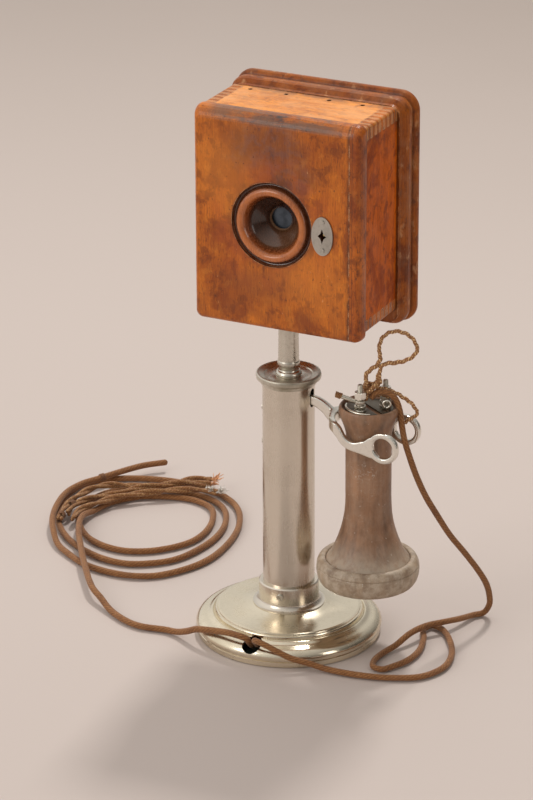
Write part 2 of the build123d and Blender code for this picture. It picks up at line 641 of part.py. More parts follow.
save(disc(Plane.XY.offset(COIL_Z0 + COIL_FLANGE + COIL_GAP), COIL, 11.2,
          COIL_Z1 - COIL_Z0 - 2 * (COIL_FLANGE + COIL_GAP), bore=COIL_TUBE_R + COIL_GAP),
     "induction_winding")
save(disc(Plane.XY.offset(263.2), COIL, COIL_BORE - COIL_GAP, 89), "induction_core")

# shank, washer and head
save(slotted_screws(Plane.XY.offset(BOX_FLOOR), TERMINALS,
                    steps=((1.5 - WALL, 1.58, WALL + 3.5), (0.04, 4.0, 0.9), (3.0, 3.3, 2.6)),
                    slot=(4.8, 8, 0.7, 25, 2)), "terminal_screws")

# ================================================================= door and transmitter
# (y, half width, bottom z, top z, corner radius), from the back of the door forward
DOOR_SECTIONS = (
    (-10.3, 66.4, 248.1, 410.9, 5.4), (-10.9, 67.0, 247.5, 411.5, 6.0),
    (-13.6, 67.0, 247.5, 411.5, 6.0), (-16.2, 66.7, 247.8, 410.6, 5.8),
    (-18.2, 66.1, 248.4, 409.0, 5.4), (-19.6, 65.2, 249.3, 406.8, 4.8),
    (-20.5, 64.2, 250.3, 404.4, 4.4), (DOOR_FRONT, 63.2, 251.2, 402.8, 4.0))
LOCK_SCREW_HOLE_R = 0.95
for name, x0, x1 in (("door_panel", -90.0, CLEAT_X - JOINT_GAP),
                     ("door_cleat", CLEAT_X + JOINT_GAP, 90.0)):
    with BuildPart() as door:
        for y, half_width, z0, z1, corner in DOOR_SECTIONS:
            with BuildSketch(Plane.XZ.offset(-y)):
                with Locations((0, (z0 + z1) / 2)):
                    RectangleRounded(2 * half_width, z1 - z0, corner)
        loft(ruled=True)
        with BuildSketch(Plane.XZ.offset(5)):
            with Locations(((x0 + x1) / 2, 330)):
                Rectangle(x1 - x0, 300)
        extrude(amount=25, mode=Mode.INTERSECT)
        if name == "door_panel":
            with BuildSketch(Plane.XZ.offset(5)):    # mouthpiece hole and keyhole
                with Locations(MOUTH):
                    Circle(MOUTH_R + GAP)
                with BuildLine():
                    Polyline(*KEYHOLE, close=True)
                make_face()
            extrude(amount=25, mode=Mode.SUBTRACT)
            with BuildSketch(Plane.XZ.offset(5)):
                with Locations(*LOCK_SCREWS):
                    Circle(LOCK_SCREW_HOLE_R)
            extrude(amount=25, mode=Mode.SUBTRACT)
            for z in HINGE_Z:
                with BuildSketch(Plane.XY.offset(z - 0.05)):
                    with Locations((-63.2, -10.0)):
                        Rectangle(12.2, 3.0)
                    with Locations((HINGE_X, HINGE_Y)):
                        Circle(KNUCKLE_R + 0.2)
                extrude(amount=HINGE_LEN + 0.1, mode=Mode.SUBTRACT)
    save(door.part, name)

# mouthpiece curves, (radius, y)
MOUTH_QUIRK = ((MOUTH_R, -19.8), (31.0, -18.3), (29.6, -18.4), (28.6, -20.0))
MOUTH_TORUS = (MOUTH_QUIRK[-1], (27.0, -22.6), (24.8, -23.2), (22.4, -21.6), (20.4, -18.4))
MOUTH_FUNNEL = (MOUTH_TORUS[-1], (16.4, -13.4), (11.6, -8.4), (8.5, -4.6), (8.0, -2.95))
with BuildPart() as mouthpiece:                      # turned wood, with a flange behind the door
    with BuildSketch(MOUTH_PLANE):
        with BuildLine():
            Polyline(MOUTH_FUNNEL[-1], (FLANGE_R, -2.95), (FLANGE_R, -10.25),
                     (MOUTH_R, -10.25), MOUTH_QUIRK[0])
            Spline(*MOUTH_QUIRK, tangents=((-0.3, 1), (-0.5, -1)))
            Spline(*MOUTH_TORUS, tangents=((-0.3, -1), (-0.5, 1)))
            Spline(*MOUTH_FUNNEL, tangents=((-0.6, 1), (0, 1)))
        make_face()
    revolve(axis=AX_MOUTH)
    with BuildSketch(Plane.XZ.offset(9.0)):
        with Locations(MOUTH):
            with PolarLocations(FLANGE_SCREW_PCR, 4, start_angle=45):
                Circle(FLANGE_HOLE_R)
    extrude(amount=-8, mode=Mode.SUBTRACT)
save(mouthpiece.part, "mouthpiece")

with BuildPart() as escutcheon:                      # oval key plate
    with BuildSketch(DOOR_FACE.offset(GAP)):
        with Locations((LOCK_X, LOCK_Z)):
            Ellipse(8.4, 14.6)
        with Locations(*LOCK_SCREWS):
            Circle(LOCK_SCREW_HOLE_R, mode=Mode.SUBTRACT)
    extrude(amount=1.1)
    with BuildSketch(DOOR_FACE.offset(-1)):
        with BuildLine():
            Polyline(*KEYHOLE, close=True)
        make_face()
    extrude(amount=4, mode=Mode.SUBTRACT)
save(escutcheon.part, "escutcheon")

save(slotted_screws(DOOR_FACE, LOCK_SCREWS,
                    steps=((1.16, 1.9, 0.8), (1.2, 0.9, -8.5)),
                    slot=(1.6, 5, 0.5, 20, 1)), "escutcheon_screws")

with BuildPart() as lock_case:                       # case open on the right, with the key pin
    with BuildSketch(Plane.XZ.offset(9.95)):
        with Locations((40.4, LOCK_Z)):
            RectangleRounded(12.4, 26, 1)
    extrude(amount=-7.4)
    with BuildSketch(Plane.YZ.offset(36)):
        with Locations((BOLT_Y, LOCK_Z)):
            Rectangle(3.6, 9.0)
    extrude(amount=20, mode=Mode.SUBTRACT)
    with BuildSketch(Plane.XZ.offset(11)):
        with Locations((LOCK_X, LOCK_Z)):
            Circle(2.2)
            Rectangle(1.8, 9.4)
    extrude(amount=-5.2, mode=Mode.SUBTRACT)
    with BuildSketch(Plane.XZ.offset(3)):
        with Locations((LOCK_X, LOCK_Z)):
            Circle(0.8)
    extrude(amount=15.6)
save(lock_case.part, "lock_case")

with BuildPart() as lock_bolt:
    with BuildSketch(Plane.YZ.offset(39.4)):
        with Locations((BOLT_Y, LOCK_Z)):
            Rectangle(3.4, 8.8)
    extrude(amount=16.6)
save(lock_bolt.part, "lock_bolt")

RING_PROFILE = (                                     # (radius, y)
    (27.6, -0.4), (31.05, -0.4), (31.05, -2.9), (FLANGE_R, -2.9),
    (FLANGE_R, 1.3), (36.4, 2.1), (28.4, 2.1), (27.6, 1.3))
RING_BRACKET = (                                     # (y, z)
    (-2.9, 294.5), (-2.9, 284.5), (27.5, 284.5), (27.5, 296.5),
    (23.5, 296.5), (23.5, 288.0), (2.0, 288.0), (2.0, 294.5))
with BuildPart() as transmitter_ring:                # hinge lug above, screw bracket below
    with BuildSketch(MOUTH_PLANE):
        with BuildLine():
            Polyline(*RING_PROFILE, close=True)
        make_face()
    revolve(axis=AX_MOUTH)
    for side in (1, -1):                             # cheeks for the lever's trunnions
        with BuildSketch(Plane.YZ.offset(MOUTH_X + side * 6.0 - 1.2)):
            with Locations((8.4, TRUNNION[1])):
                Rectangle(22.6, 8.6)
        extrude(amount=2.4)
    with BuildSketch(Plane.YZ.offset(MOUTH_X - 7.2)):
        with Locations((0.2, TRUNNION[1])):
            Rectangle(6.2, 8.6)
    extrude(amount=14.4)
    with BuildSketch(Plane.YZ.offset(MOUTH_X - 6)):
        with BuildLine():
            Polyline(*RING_BRACKET, close=True)
        make_face()
    extrude(amount=12)
    with BuildSketch(Plane.YZ.offset(MOUTH_X - 20)):
        with Locations(TRUNNION):
            Circle(1.55)
    extrude(amount=40, mode=Mode.SUBTRACT)
    with BuildSketch(Plane.XZ.offset(-20)):
        with Locations(ADJUSTER):
            Circle(2.05)
    extrude(amount=-10, mode=Mode.SUBTRACT)
    with BuildSketch(Plane.XZ.offset(4)):
        with Locations(MOUTH):
            with PolarLocations(FLANGE_SCREW_PCR, 4, start_angle=45):
                Circle(FLANGE_HOLE_R)
    extrude(amount=-8, mode=Mode.SUBTRACT)
save(transmitter_ring.part, "transmitter_ring")

with BuildPart() as ring_screws:
    for i in range(4):
        angle = radians(45 + 90 * i)
        place = (MOUTH_X + FLANGE_SCREW_PCR * cos(angle), MOUTH_Z + FLANGE_SCREW_PCR * sin(angle))
        with BuildSketch(Plane.XZ.offset(-2.15)):
            with Locations(place):
                Circle(2.5)
        extrude(amount=-1.9)
        with BuildSketch(Plane.XZ.offset(-2.2)):
            with Locations(place):
                Circle(1.5)
        extrude(amount=10.6)
        with BuildSketch(Plane.XZ.offset(-3.2)):
            with Locations(place):
                Rectangle(7, 0.6, rotation=30 * i)
        extrude(amount=-2, mode=Mode.SUBTRACT)
save(ring_screws.part, "ring_screws")

save(disc(Plane.XZ.offset(1.3), MOUTH, 30.5, -0.5), "diaphragm")

GASKET_PROFILE = (                                   # (radius, y), folded over the diaphragm edge
    (27.2, -2.85), (31.0, -2.85), (31.0, -0.44), (27.2, -0.44),
    (27.2, -0.77), (30.54, -0.77), (30.54, -1.33), (27.2, -1.33))
save(turned(GASKET_PROFILE, MOUTH_PLANE, AX_MOUTH), "diaphragm_gasket")

with BuildPart() as adjusting_lever:                 # hangs from the upper lug
    with BuildSketch(Plane.YZ.offset(MOUTH_X - 3.5)):
        with BuildLine():
            Polyline((14.0, 291.0), (14.0, 372.0), (18.0, 372.0), (18.0, 291.0), close=True)
        make_face()
    extrude(amount=7.0)
    for half_length, radius in ((4.6, 3.0), (7.0, 1.5)):   # boss, then trunnions
        with BuildSketch(Plane.YZ.offset(MOUTH_X - half_length)):
            with Locations(TRUNNION):
                Circle(radius)
        extrude(amount=2 * half_length)
save(adjusting_lever.part, "adjusting_lever")

with BuildPart() as platinum_spring:                 # light spring, its bead on the diaphragm
    with BuildSketch(Plane.XY.offset(326.5)):
        with Locations((MOUTH_X, 3.3)):
            Rectangle(2.4, 0.3)
    extrude(amount=35)
    with BuildSketch(Plane.XY.offset(357)):
        with Locations((MOUTH_X, 8.66)):
            Rectangle(5, 10.6)
    extrude(amount=4.5)
    with BuildSketch(Plane.XZ.offset(0.4)):
        with Locations(MOUTH):
            Circle(0.9)
    extrude(amount=-4.88)
save(platinum_spring.part, "platinum_spring")

BUTTON_R = 6.0
save(disc(Plane.XZ.offset(-4.56), MOUTH, BUTTON_R, -2.8), "carbon_button")

with BuildPart() as carbon_holder:                   # weight on its own spring
    with BuildSketch(Plane.XZ.offset(-5.4)):
        with Locations(MOUTH):
            Circle(7.6)
    extrude(amount=-5.2)
    with BuildSketch(Plane.XZ.offset(-5.3)):         # seat for the carbon button
        with Locations(MOUTH):
            Circle(BUTTON_R + 0.04)
    extrude(amount=-2.1, mode=Mode.SUBTRACT)
    with BuildSketch(Plane.XY.offset(325)):
        with Locations((MOUTH_X, 10.75)):
            Rectangle(4.0, 0.4)
    extrude(amount=27)
    with BuildSketch(Plane.XY.offset(346)):
        with Locations((MOUTH_X, 12.35)):
            Rectangle(4.0, 3.2)
    extrude(amount=6)
save(carbon_holder.part, "carbon_holder")

save(slotted_screws(Plane.XZ, (ADJUSTER,),
                    steps=((-18.06, 2.0, -13.0), (-29.5, 3.6, -2.6)),
                    slot=(-31.0, 9, 0.8, 0, -2)), "adjusting_screw")

# ================================================================= receiver
# Profiles are (radius, z); the ear cap is at the lower end.
SHELL_FLARE = ((30.6, 72.7), (27.2, 77.4), (24.2, 84.2), (21.5, 91.5), (19.3, 99.5),
               (17.7, 109.0), (17.05, 119.0), (REC_R, 130.0))
SHELL_HEAD = ((REC_R, 167.0), (17.15, 172.5), (18.5, 178.2), (20.8, 184.8), (22.2, 190.2),
              (22.0, 192.7), (21.1, 194.0))
SHELL_LIP = (SHELL_HEAD[-1], (20.3, 194.0), (19.4, 192.4))
with BuildPart() as receiver_shell:
    with BuildSketch(REC_PLANE):
        with BuildLine():
            Polyline((15.4, 64.2), (31.35, 64.2), (31.35, 71.6), SHELL_FLARE[0])
            Spline(*SHELL_FLARE, tangents=((-0.55, 1), (0, 1)))
            Line(SHELL_FLARE[-1], SHELL_HEAD[0])
            Spline(*SHELL_HEAD, tangents=((0, 1), (-1, 0.5)))
            Spline(*SHELL_LIP, tangents=((-1, 0.3), (-0.2, -1)))
            Polyline(SHELL_LIP[-1], (19.2, 190.6), (0, 190.6), (0, 184.0), (8.2, 184.0),
                     (8.2, 84.0), (15.4, 82.0), (15.4, 64.2))
        make_face()
    revolve(axis=AX_REC)
    with BuildSketch(Plane.XY.offset(183)):
        with Locations(*POSTS):
            Circle(POST_HOLE_R)
    extrude(amount=10, mode=Mode.SUBTRACT)
    with BuildSketch(Plane.XY.offset(186.0)):
        with Locations((EYE_X, EYE_Y)):
            Circle(0.95)
    extrude(amount=10, mode=Mode.SUBTRACT)
save(receiver_shell.part, "receiver_shell")

EAR_OUTSIDE = ((32.2, 72.8), (34.2, 73.3), (36.4, 71.8), (38.0, 68.4), (EAR_R, 64.6),
               (37.8, 59.6), (36.2, 55.2), (33.4, 52.6), (30.4, 52.0))
EAR_DISH = (EAR_OUTSIDE[-1], (24.0, 53.2), (15.0, 56.4), (8.6, 59.2), (7.0, 60.6))
with BuildPart() as ear_cap:
    with BuildSketch(REC_PLANE):
        with BuildLine():
            Polyline((31.45, 63.65), (31.45, 72.0), EAR_OUTSIDE[0])
            Spline(*EAR_OUTSIDE, tangents=((1, 0.4), (-1, 0)))
            Spline(*EAR_DISH, tangents=((-1, 0), (-1, 1.4)))
            Polyline(EAR_DISH[-1], (7.0, 61.7), (29.0, 61.7), (29.0, 63.65), (31.45, 63.65))
        make_face()
    revolve(axis=AX_REC)
save(ear_cap.part, "ear_cap")

save(disc(Plane.XY.offset(63.7), (REC_X, 0), 31.2, 0.4), "receiver_diaphragm")

MAGNET_PROFILE = (                                   # reduced pole end inside the coil
    (0, 64.9), (3.9, 64.9), (3.9, 88.0), (8.1, 90.0), (8.1, 183.9), (0, 183.9))
save(turned(MAGNET_PROFILE, REC_PLANE, AX_REC), "bar_magnet")

BOBBIN_PROFILE = (
    (3.95, 66.0), (13.4, 66.0), (13.4, 67.8), (5.2, 67.8),
    (5.2, 79.6), (13.4, 79.6), (13.4, 81.4), (3.95, 81.4))
save(turned(BOBBIN_PROFILE, REC_PLANE, AX_REC), "receiver_bobbin")

with BuildPart() as receiver_winding:
    with BuildSketch(REC_PLANE):
        with Locations((9.0, 73.7)):
            Rectangle(7.5, 11.7)
    revolve(axis=AX_REC)
save(receiver_winding.part, "receiver_winding")

with BuildPart() as terminal_plate:                  # two half-moons, one under each post
    with BuildSketch(Plane.XY.offset(190.64)):
        with Locations((REC_X, 0)):
            Circle(17.6)
            Rectangle(50, 4.4, rotation=-34.0, mode=Mode.SUBTRACT)
        with Locations(*POSTS):
            Circle(POST_HOLE_R, mode=Mode.SUBTRACT)
        with Locations((EYE_X, EYE_Y)):
            Circle(3.2, mode=Mode.SUBTRACT)
    extrude(amount=1.4)
save(terminal_plate.part, "terminal_plate")

with BuildPart() as binding_posts:
    for place in POSTS:
        with BuildSketch(Plane.XY.offset(184.6)):
            with Locations(place):
                Circle(1.98)
        extrude(amount=28.0)
        with BuildSketch(Plane.XY.offset(192.08)):
            with Locations(place):
                Circle(3.6)
        extrude(amount=9.2)
save(binding_posts.part, "binding_posts")

with BuildPart() as binding_nuts:
    for place in POSTS:
        with BuildSketch(Plane.XY.offset(201.34)):
            with Locations(place):
                RegularPolygon(4.6, 6)
                Circle(2.02, mode=Mode.SUBTRACT)
        extrude(amount=5.8)
save(binding_nuts.part, "binding_nuts")

EYE_CENTRE = (EYE_X, EYE_Y, 196.4)
with BuildPart() as cord_eye:                        # screw eye that takes the pull of the cord
    with BuildSketch(Plane.XY.offset(186.4)):
        with Locations((EYE_X, EYE_Y)):
            Circle(0.9)
    extrude(amount=8.0)
    with BuildSketch(Plane(origin=EYE_CENTRE, x_dir=(0, 0, 1), z_dir=(-0.77, 0.64, 0))):
        with Locations((2.4, 0)):
            Circle(0.85)
    revolve(axis=Axis(EYE_CENTRE, (0.64, 0.77, 0)))
save(cord_eye.part, "cord_eye")

# ================================================================= cords
# Centre-line points, (x, y, z). From the receiver down to the table:
DROP_PATH = (
    (82.6, 3, 198.6), (86.8, 1.4, 198.8), (90.6, 0, 193.5), (91.7, 1, 178.1),
    (94.9, 6, 157.3), (102, 20, 121.2), (113.1, 42, 82.1), (126.2, 66, 46),
    (129.6, 76.5, 27), (129.4, 80.4, 14))
save(cord(DROP_PATH), "receiver_cord_drop")

# along the table and into the base:
TABLE_PATH = (
    (128.6, 82.4, 8), (124.5, 82.6, 3.2), (119, 76, 2.7), (114.5, 60, 5.6),
    (108, 44, 8.6), (99.5, 32.5, 8.6), (93.6, 15.5, 8.4), (88.4, 0, 4),
    (84.4, -13, 2.7), (83.6, -27.3, 2.7), (87.7, -37.8, 2.7), (95, -38.8, 2.7),
    (100.3, -30.7, 2.7), (105.2, -19.6, 2.7), (107.2, -6.8, 2.7), (106.2, 6, 2.7),
    (100.9, 23.7, 2.7), (95, 37, 2.7), (98.5, 45.4, 2.7), (107.9, 42.4, 2.7),
    (121.6, 25.9, 2.7), (132, 4.2, 2.7), (134.4, -17.6, 2.7), (125.6, -37.6, 2.7),
    (107, -48.6, 2.7), (87.9, -54.2, 2.7), (68.5, -56.6, 2.8), (56, -57.6, 3.6),
    (45.7, -60.4, 6.6), (34, -66, 10.6), (24, -68.6, 15), (15, -69, 18.2),
    (9, -68.2, 19.4), (4.8, -65.8, 18.6), (2.8, -61.8, 15.4), (2.4, -55.6, 10.2),
    (2.4, -47, 7), (2.4, -38, 6.4))
save(cord(TABLE_PATH), "receiver_cord_table")

# from the base to the left, and round in loops on the table:
LINE_PATH = (
    (-3.4, -38, 6.4), (-3.4, -46, 6.8), (-3.4, -55, 8.8), (-3.4, -60.2, 13.2),
    (-4.4, -62.6, 17), (-8.5, -63.6, 18.6), (-14, -63, 18.8), (-20, -62, 18.6),
    (-29.6, -60, 17), (-40, -58, 15), (-50.4, -55.6, 12.4), (-60, -53, 7.6),
    (-70, -50, 3.8), (-80, -48.6, 2.7), (-100.1, -51.2, 2.7), (-115.2, -47.2, 2.7),
    (-133.9, -36.6, 3.4), (-150.1, -20, 6.6), (-163, 0, 8.6), (-176, 20, 8.9),
    (-188, 40, 8.9), (-204, 62, 9.4), (-221, 90, 9), (-226, 112, 5), (-222, 138, 2.8),
    (-206, 160, 2.7), (-184, 171.5, 2.7), (-163, 171, 2.7), (-145.6, 160, 2.7),
    (-135.6, 140, 2.7), (-133.4, 117, 2.7), (-141, 95, 2.7), (-156, 78, 2.7),
    (-176, 69, 2.7), (-198, 72, 2.7), (-218, 84.5, 2.7), (-234, 104, 2.7),
    (-242, 128, 2.7), (-237, 154, 2.7), (-220, 174, 2.7), (-194, 185, 2.7),
    (-166, 184, 2.7), (-142, 170, 2.7), (-127, 146, 2.7), (-121.6, 116, 2.7),
    (-128, 84, 2.7), (-144, 60, 2.7), (-168, 47.6, 2.7), (-194, 48.6, 2.7),
    (-220, 60, 2.7), (-243, 82, 2.7), (-258, 112, 2.7), (-262, 142, 2.7),
    (-252, 172, 2.7), (-228, 194, 2.7), (-196, 203, 2.7), (-164, 200, 2.7),
    (-136, 184, 2.7), (-116, 156, 2.7), (-108.4, 118, 2.7), (-112.6, 74, 2.7),
    (-130, 44, 2.7), (-156, 30, 2.7), (-190, 29, 2.7), (-222, 42, 2.7),
    (-250, 66, 2.7), (-268, 98, 2.7), (-274, 134, 2.7), (-268, 168, 2.7),
    (-254, 192, 2.7), (-238, 208, 2.7), (-222, 220, 2.7))
save(cord(LINE_PATH), "line_cord")
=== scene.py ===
"""Looks of an antique desk telephone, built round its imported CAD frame.

The phone stands upright, +Z up, with the box door and mouthpiece towards -Y and the receiver
hanging on the +X side. Its cords lie on the floor at z = 0. Meshes are laid out in mm and scaled
by MM; materials, modifiers, lights and camera are in metres.
"""
import bmesh
import bpy
import math
import random
from mathutils import Matrix, Vector


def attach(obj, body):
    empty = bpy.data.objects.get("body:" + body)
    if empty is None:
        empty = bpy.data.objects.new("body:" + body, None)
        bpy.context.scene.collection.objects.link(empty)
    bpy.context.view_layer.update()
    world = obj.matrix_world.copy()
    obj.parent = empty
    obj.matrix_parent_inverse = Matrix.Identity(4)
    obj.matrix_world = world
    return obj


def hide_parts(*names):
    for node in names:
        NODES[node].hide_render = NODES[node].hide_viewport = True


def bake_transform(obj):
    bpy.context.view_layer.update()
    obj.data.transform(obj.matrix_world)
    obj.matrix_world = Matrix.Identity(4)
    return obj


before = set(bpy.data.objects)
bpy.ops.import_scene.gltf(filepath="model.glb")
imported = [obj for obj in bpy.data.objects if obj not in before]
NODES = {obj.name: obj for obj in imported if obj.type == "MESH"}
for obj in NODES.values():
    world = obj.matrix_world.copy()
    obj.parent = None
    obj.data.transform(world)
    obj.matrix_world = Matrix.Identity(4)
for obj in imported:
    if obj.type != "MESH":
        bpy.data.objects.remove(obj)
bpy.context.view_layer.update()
random.seed(11)

MM = 0.001
RECEIVER_X = 65.2                # receiver axis, at y = 0
MOUTH_X, MOUTH_Z = -3.5, 329.0   # mouthpiece axis
CORD_REST_Z = 2.8                # centre of a cord lying on the floor
BRAID_PITCH = 3.4                # one turn of a braid thread along the outer cords
UP = Vector((0, 0, 1))


# ------------------------------------------------------------------ geometry helpers
def link_object(name, data):
    piece = bpy.data.objects.new(name, data)
    bpy.context.scene.collection.objects.link(piece)
    return piece


def new_object(name, verts, faces, uvs=None):
    """Smooth-shaded mesh in metres. uvs holds one tuple of corner pairs per face."""
    mesh = bpy.data.meshes.new(name)
    mesh.from_pydata([tuple(v) for v in verts], [], faces)
    mesh.update()
    if uvs is not None:
        layer = mesh.uv_layers.new(name="UVMap")
        corners = [uv for face in uvs for uv in face]
        for i, uv in enumerate(corners):
            layer.data[i].uv = uv
    for polygon in mesh.polygons:
        polygon.use_smooth = True
    return link_object(name, mesh)


def weigh(start, end, t_start, t_end, t):
    width = t_end - t_start
    return start * ((t_end - t) / width) + end * ((t - t_start) / width)


def spline(points, step):
    """Centripetal Catmull-Rom curve, evenly resampled; returns the points and the length."""
    knots = [Vector(p) for p in points]
    padded = [knots[0] * 2 - knots[1]] + knots + [knots[-1] * 2 - knots[-2]]
    dense = []
    for p0, p1, p2, p3 in zip(padded, padded[1:], padded[2:], padded[3:]):
        times = [0.0]
        for start, end in ((p0, p1), (p1, p2), (p2, p3)):
            times.append(times[-1] + max((end - start).length, 1e-6) ** 0.5)
        t0, t1, t2, t3 = times
        count = max(2, int((p2 - p1).length / (step * 0.25)))
        for j in range(count):
            t = t1 + (t2 - t1) * j / count
            first = weigh(p0, p1, t0, t1, t)
            middle = weigh(p1, p2, t1, t2, t)
            last = weigh(p2, p3, t2, t3, t)
            early = weigh(first, middle, t0, t2, t)
            late = weigh(middle, last, t1, t3, t)
            dense.append(weigh(early, late, t1, t2, t))
    dense.append(knots[-1])

    lengths = [0.0]
    for start, end in zip(dense[:-1], dense[1:]):
        lengths.append(lengths[-1] + (end - start).length)
    total = lengths[-1]
    count = max(2, int(round(total / step)))
    even = []
    j = 0
    for i in range(count + 1):
        run = total * i / count
        while j < len(lengths) - 2 and lengths[j + 1] < run:
            j += 1
        gap = lengths[j + 1] - lengths[j]
        t = 0 if gap < 1e-9 else (run - lengths[j]) / gap
        even.append(dense[j].lerp(dense[j + 1], min(1, max(0, t))))
    return even, total


def tangent(path, i):
    return (path[min(len(path) - 1, i + 1)] - path[max(0, i - 1)]).normalized()


def tube(name, points, radius, step=0.9, sides=24, braid=0.0, pitch=5.2, carriers=6,
         taper="", wobble=0.0, seed=0, swell=None):
    """A round cord through points. UV: x round the cord, y along it in metres.

    braid is the height of the raised threads, taper ("", "end" or "both") rounds the ends, and
    swell(run, total) scales the radius along the cord.
    """
    path, total = spline(points, step)
    count = len(path)
    rnd = random.Random(seed)
    phase = [rnd.uniform(0, 6.28) for _ in range(4)]
    tangents = [tangent(path, i) for i in range(count)]
    start = UP if abs(tangents[0].z) < 0.9 else Vector((1, 0, 0))
    side = (start - tangents[0] * start.dot(tangents[0])).normalized()
    verts, faces, uvs = [], [], []
    spacing = total / (count - 1)
    for i in range(count):
        # each ring carries on from the last one, so the tube does not twist
        side = (side - tangents[i] * side.dot(tangents[i])).normalized()
        other = tangents[i].cross(side)
        run = i * spacing
        size = radius * (1.0 + wobble * (math.sin(run / 17.0 + phase[0]) * 0.5
                                         + math.sin(run / 7.3 + phase[1]) * 0.3
                                         + math.sin(run / 3.1 + phase[2]) * 0.2))
        if swell:
            size *= swell(run, total)
        if taper == "both" and run < radius:
            size *= math.sqrt(max(0.03, 1 - (1 - run / radius) ** 2))
        if taper and total - run < radius:
            size *= math.sqrt(max(0.03, 1 - (1 - (total - run) / radius) ** 2))
        for k in range(sides):
            angle = 2 * math.pi * k / sides
            relief = 0.0
            if braid:
                turn = carriers * angle
                twist = 2 * math.pi * run / pitch
                relief = braid * (max(math.cos(turn + twist), math.cos(turn - twist)) - 0.35)
            out = side * math.cos(angle) + other * math.sin(angle)
            verts.append((path[i] + out * (size + relief)) * MM)
    for i in range(count - 1):
        low, high = i * spacing * MM, (i + 1) * spacing * MM
        for k in range(sides):
            after = (k + 1) % sides
            faces.append((i * sides + k, i * sides + after,
                          (i + 1) * sides + after, (i + 1) * sides + k))
            left, right = k / sides, (k + 1) / sides
            uvs.append(((left, low), (right, low), (right, high), (left, high)))
    for i in (0, count - 1):
        centre = len(verts)
        verts.append(path[i] * MM)
        for k in range(sides):
            here, after = i * sides + k, i * sides + (k + 1) % sides
            faces.append((centre, after, here) if i == 0 else (centre, here, after))
            uvs.append(((k / sides, i * spacing * MM),) * 3)
    return new_object(name, verts, faces, uvs)


def around(points, offset, pitch, phase):
    """Points that wind round a path at a distance, one turn every pitch."""
    path, total = spline(points, 0.8)
    out = []
    count = len(path)
    for i in range(count):
        along = tangent(path, i)
        side = UP.cross(along)
        side = side.normalized() if side.length > 1e-3 else Vector((1, 0, 0))
        other = along.cross(side)
        angle = 2 * math.pi * (i * total / (count - 1)) / pitch + phase
        out.append(path[i] + (side * math.cos(angle) + other * math.sin(angle)) * offset)
    return out[::2] + [out[-1]]


def profile(parts):
    """Closed outline of (radius, height) points from lines "L" and smooth curves "S".

    Each part carries on from the last point of the part before it.
    """
    outline = []
    joint = []
    for kind, points in parts:
        chain = [(r, h, 0) for r, h in joint + points]
        joint = points[-1:]
        segment = [Vector(p) for p in chain] if kind == "L" else spline(chain, 0.7)[0]
        for p in segment:
            if not outline or math.hypot(p.x - outline[-1][0], p.y - outline[-1][1]) > 0.02:
                outline.append((p.x, p.y))
    return outline[:-1]  # the last point repeats the first


def soften(points, radius):
    """Rounds the corners of a closed profile with small arcs."""
    count = len(points)
    out = []
    for i in range(count):
        corner = Vector(points[i])
        back = Vector(points[i - 1]) - corner
        ahead = Vector(points[(i + 1) % count]) - corner
        if back.length < 1e-6 or ahead.length < 1e-6:
            continue
        turn = math.pi - back.angle(ahead)
        if turn < math.radians(24) or corner.x < 0.01:
            out.append(tuple(corner))
            continue
        cut = min(radius * math.tan(turn / 2), back.length * 0.45, ahead.length * 0.45)
        start = corner + back.normalized() * cut
        end = corner + ahead.normalized() * cut
        for t in (0, 0.25, 0.5, 0.75, 1):
            q = start * (1 - t) ** 2 + corner * 2 * t * (1 - t) + end * t * t
            out.append((q.x, q.y))
    return out


def lathe(name, outline, origin, *, segments, corner, sharp, axis="Z", shape=None):
    """Spins a closed (radius, height) outline about a line through origin along Z or Y.

    shape(radius, height, angle) gives an altered radius; corner is the rounding of corners;
    edges steeper than sharp degrees stay sharp.
    """
    outline = soften(outline, corner)
    origin_x, origin_y, origin_z = origin

    def point(radius, height, angle):
        across, aside = radius * math.cos(angle), radius * math.sin(angle)
        if axis == "Z":
            return Vector((origin_x + across, origin_y + aside, height)) * MM
        return Vector((origin_x + across, height, origin_z + aside)) * MM

    verts, faces, uvs, rings = [], [], [], []
    for r, h in outline:
        first = len(verts)
        if r < 0.01:
            verts.append(point(0.0, h, 0.0))
        else:
            for k in range(segments):
                angle = 2 * math.pi * k / segments
                verts.append(point(shape(r, h, angle) if shape else r, h, angle))
        rings.append(range(first, len(verts)))
    low = 0.0
    for i, here in enumerate(rings):
        j = (i + 1) % len(rings)
        there = rings[j]
        if len(here) == 1 and len(there) == 1:
            continue
        (r0, h0), (r1, h1) = outline[i], outline[j]
        high = low + math.hypot(r1 - r0, h1 - h0) * MM
        for k in range(segments):
            after = (k + 1) % segments
            left, right = k / segments, (k + 1) / segments
            if len(here) == 1:
                faces.append((here[0], there[after], there[k]))
                uvs.append(((left, low), (right, high), (left, high)))
            elif len(there) == 1:
                faces.append((here[k], here[after], there[0]))
                uvs.append(((left, low), (right, low), (left, high)))
            else:
                faces.append((here[k], here[after], there[after], there[k]))
                uvs.append(((left, low), (right, low), (right, high), (left, high)))
        low = high
    piece = new_object(name, verts, faces, uvs)
    bm = bmesh.new()
    bm.from_mesh(piece.data)
    bmesh.ops.recalc_face_normals(bm, faces=bm.faces)
    bm.to_mesh(piece.data)
    bm.free()
    piece.data.set_sharp_from_angle(angle=math.radians(sharp))
    return piece


def merge(name, pieces):
    """One object out of several meshes already in place."""
    bm = bmesh.new()
    for piece in pieces:
        bm.from_mesh(piece.data)
    mesh = bpy.data.meshes.new(name)
    bm.to_mesh(mesh)
    bm.free()
    for piece in pieces:
        old = piece.data
        bpy.data.objects.remove(piece)
        bpy.data.meshes.remove(old)
    return link_object(name, mesh)


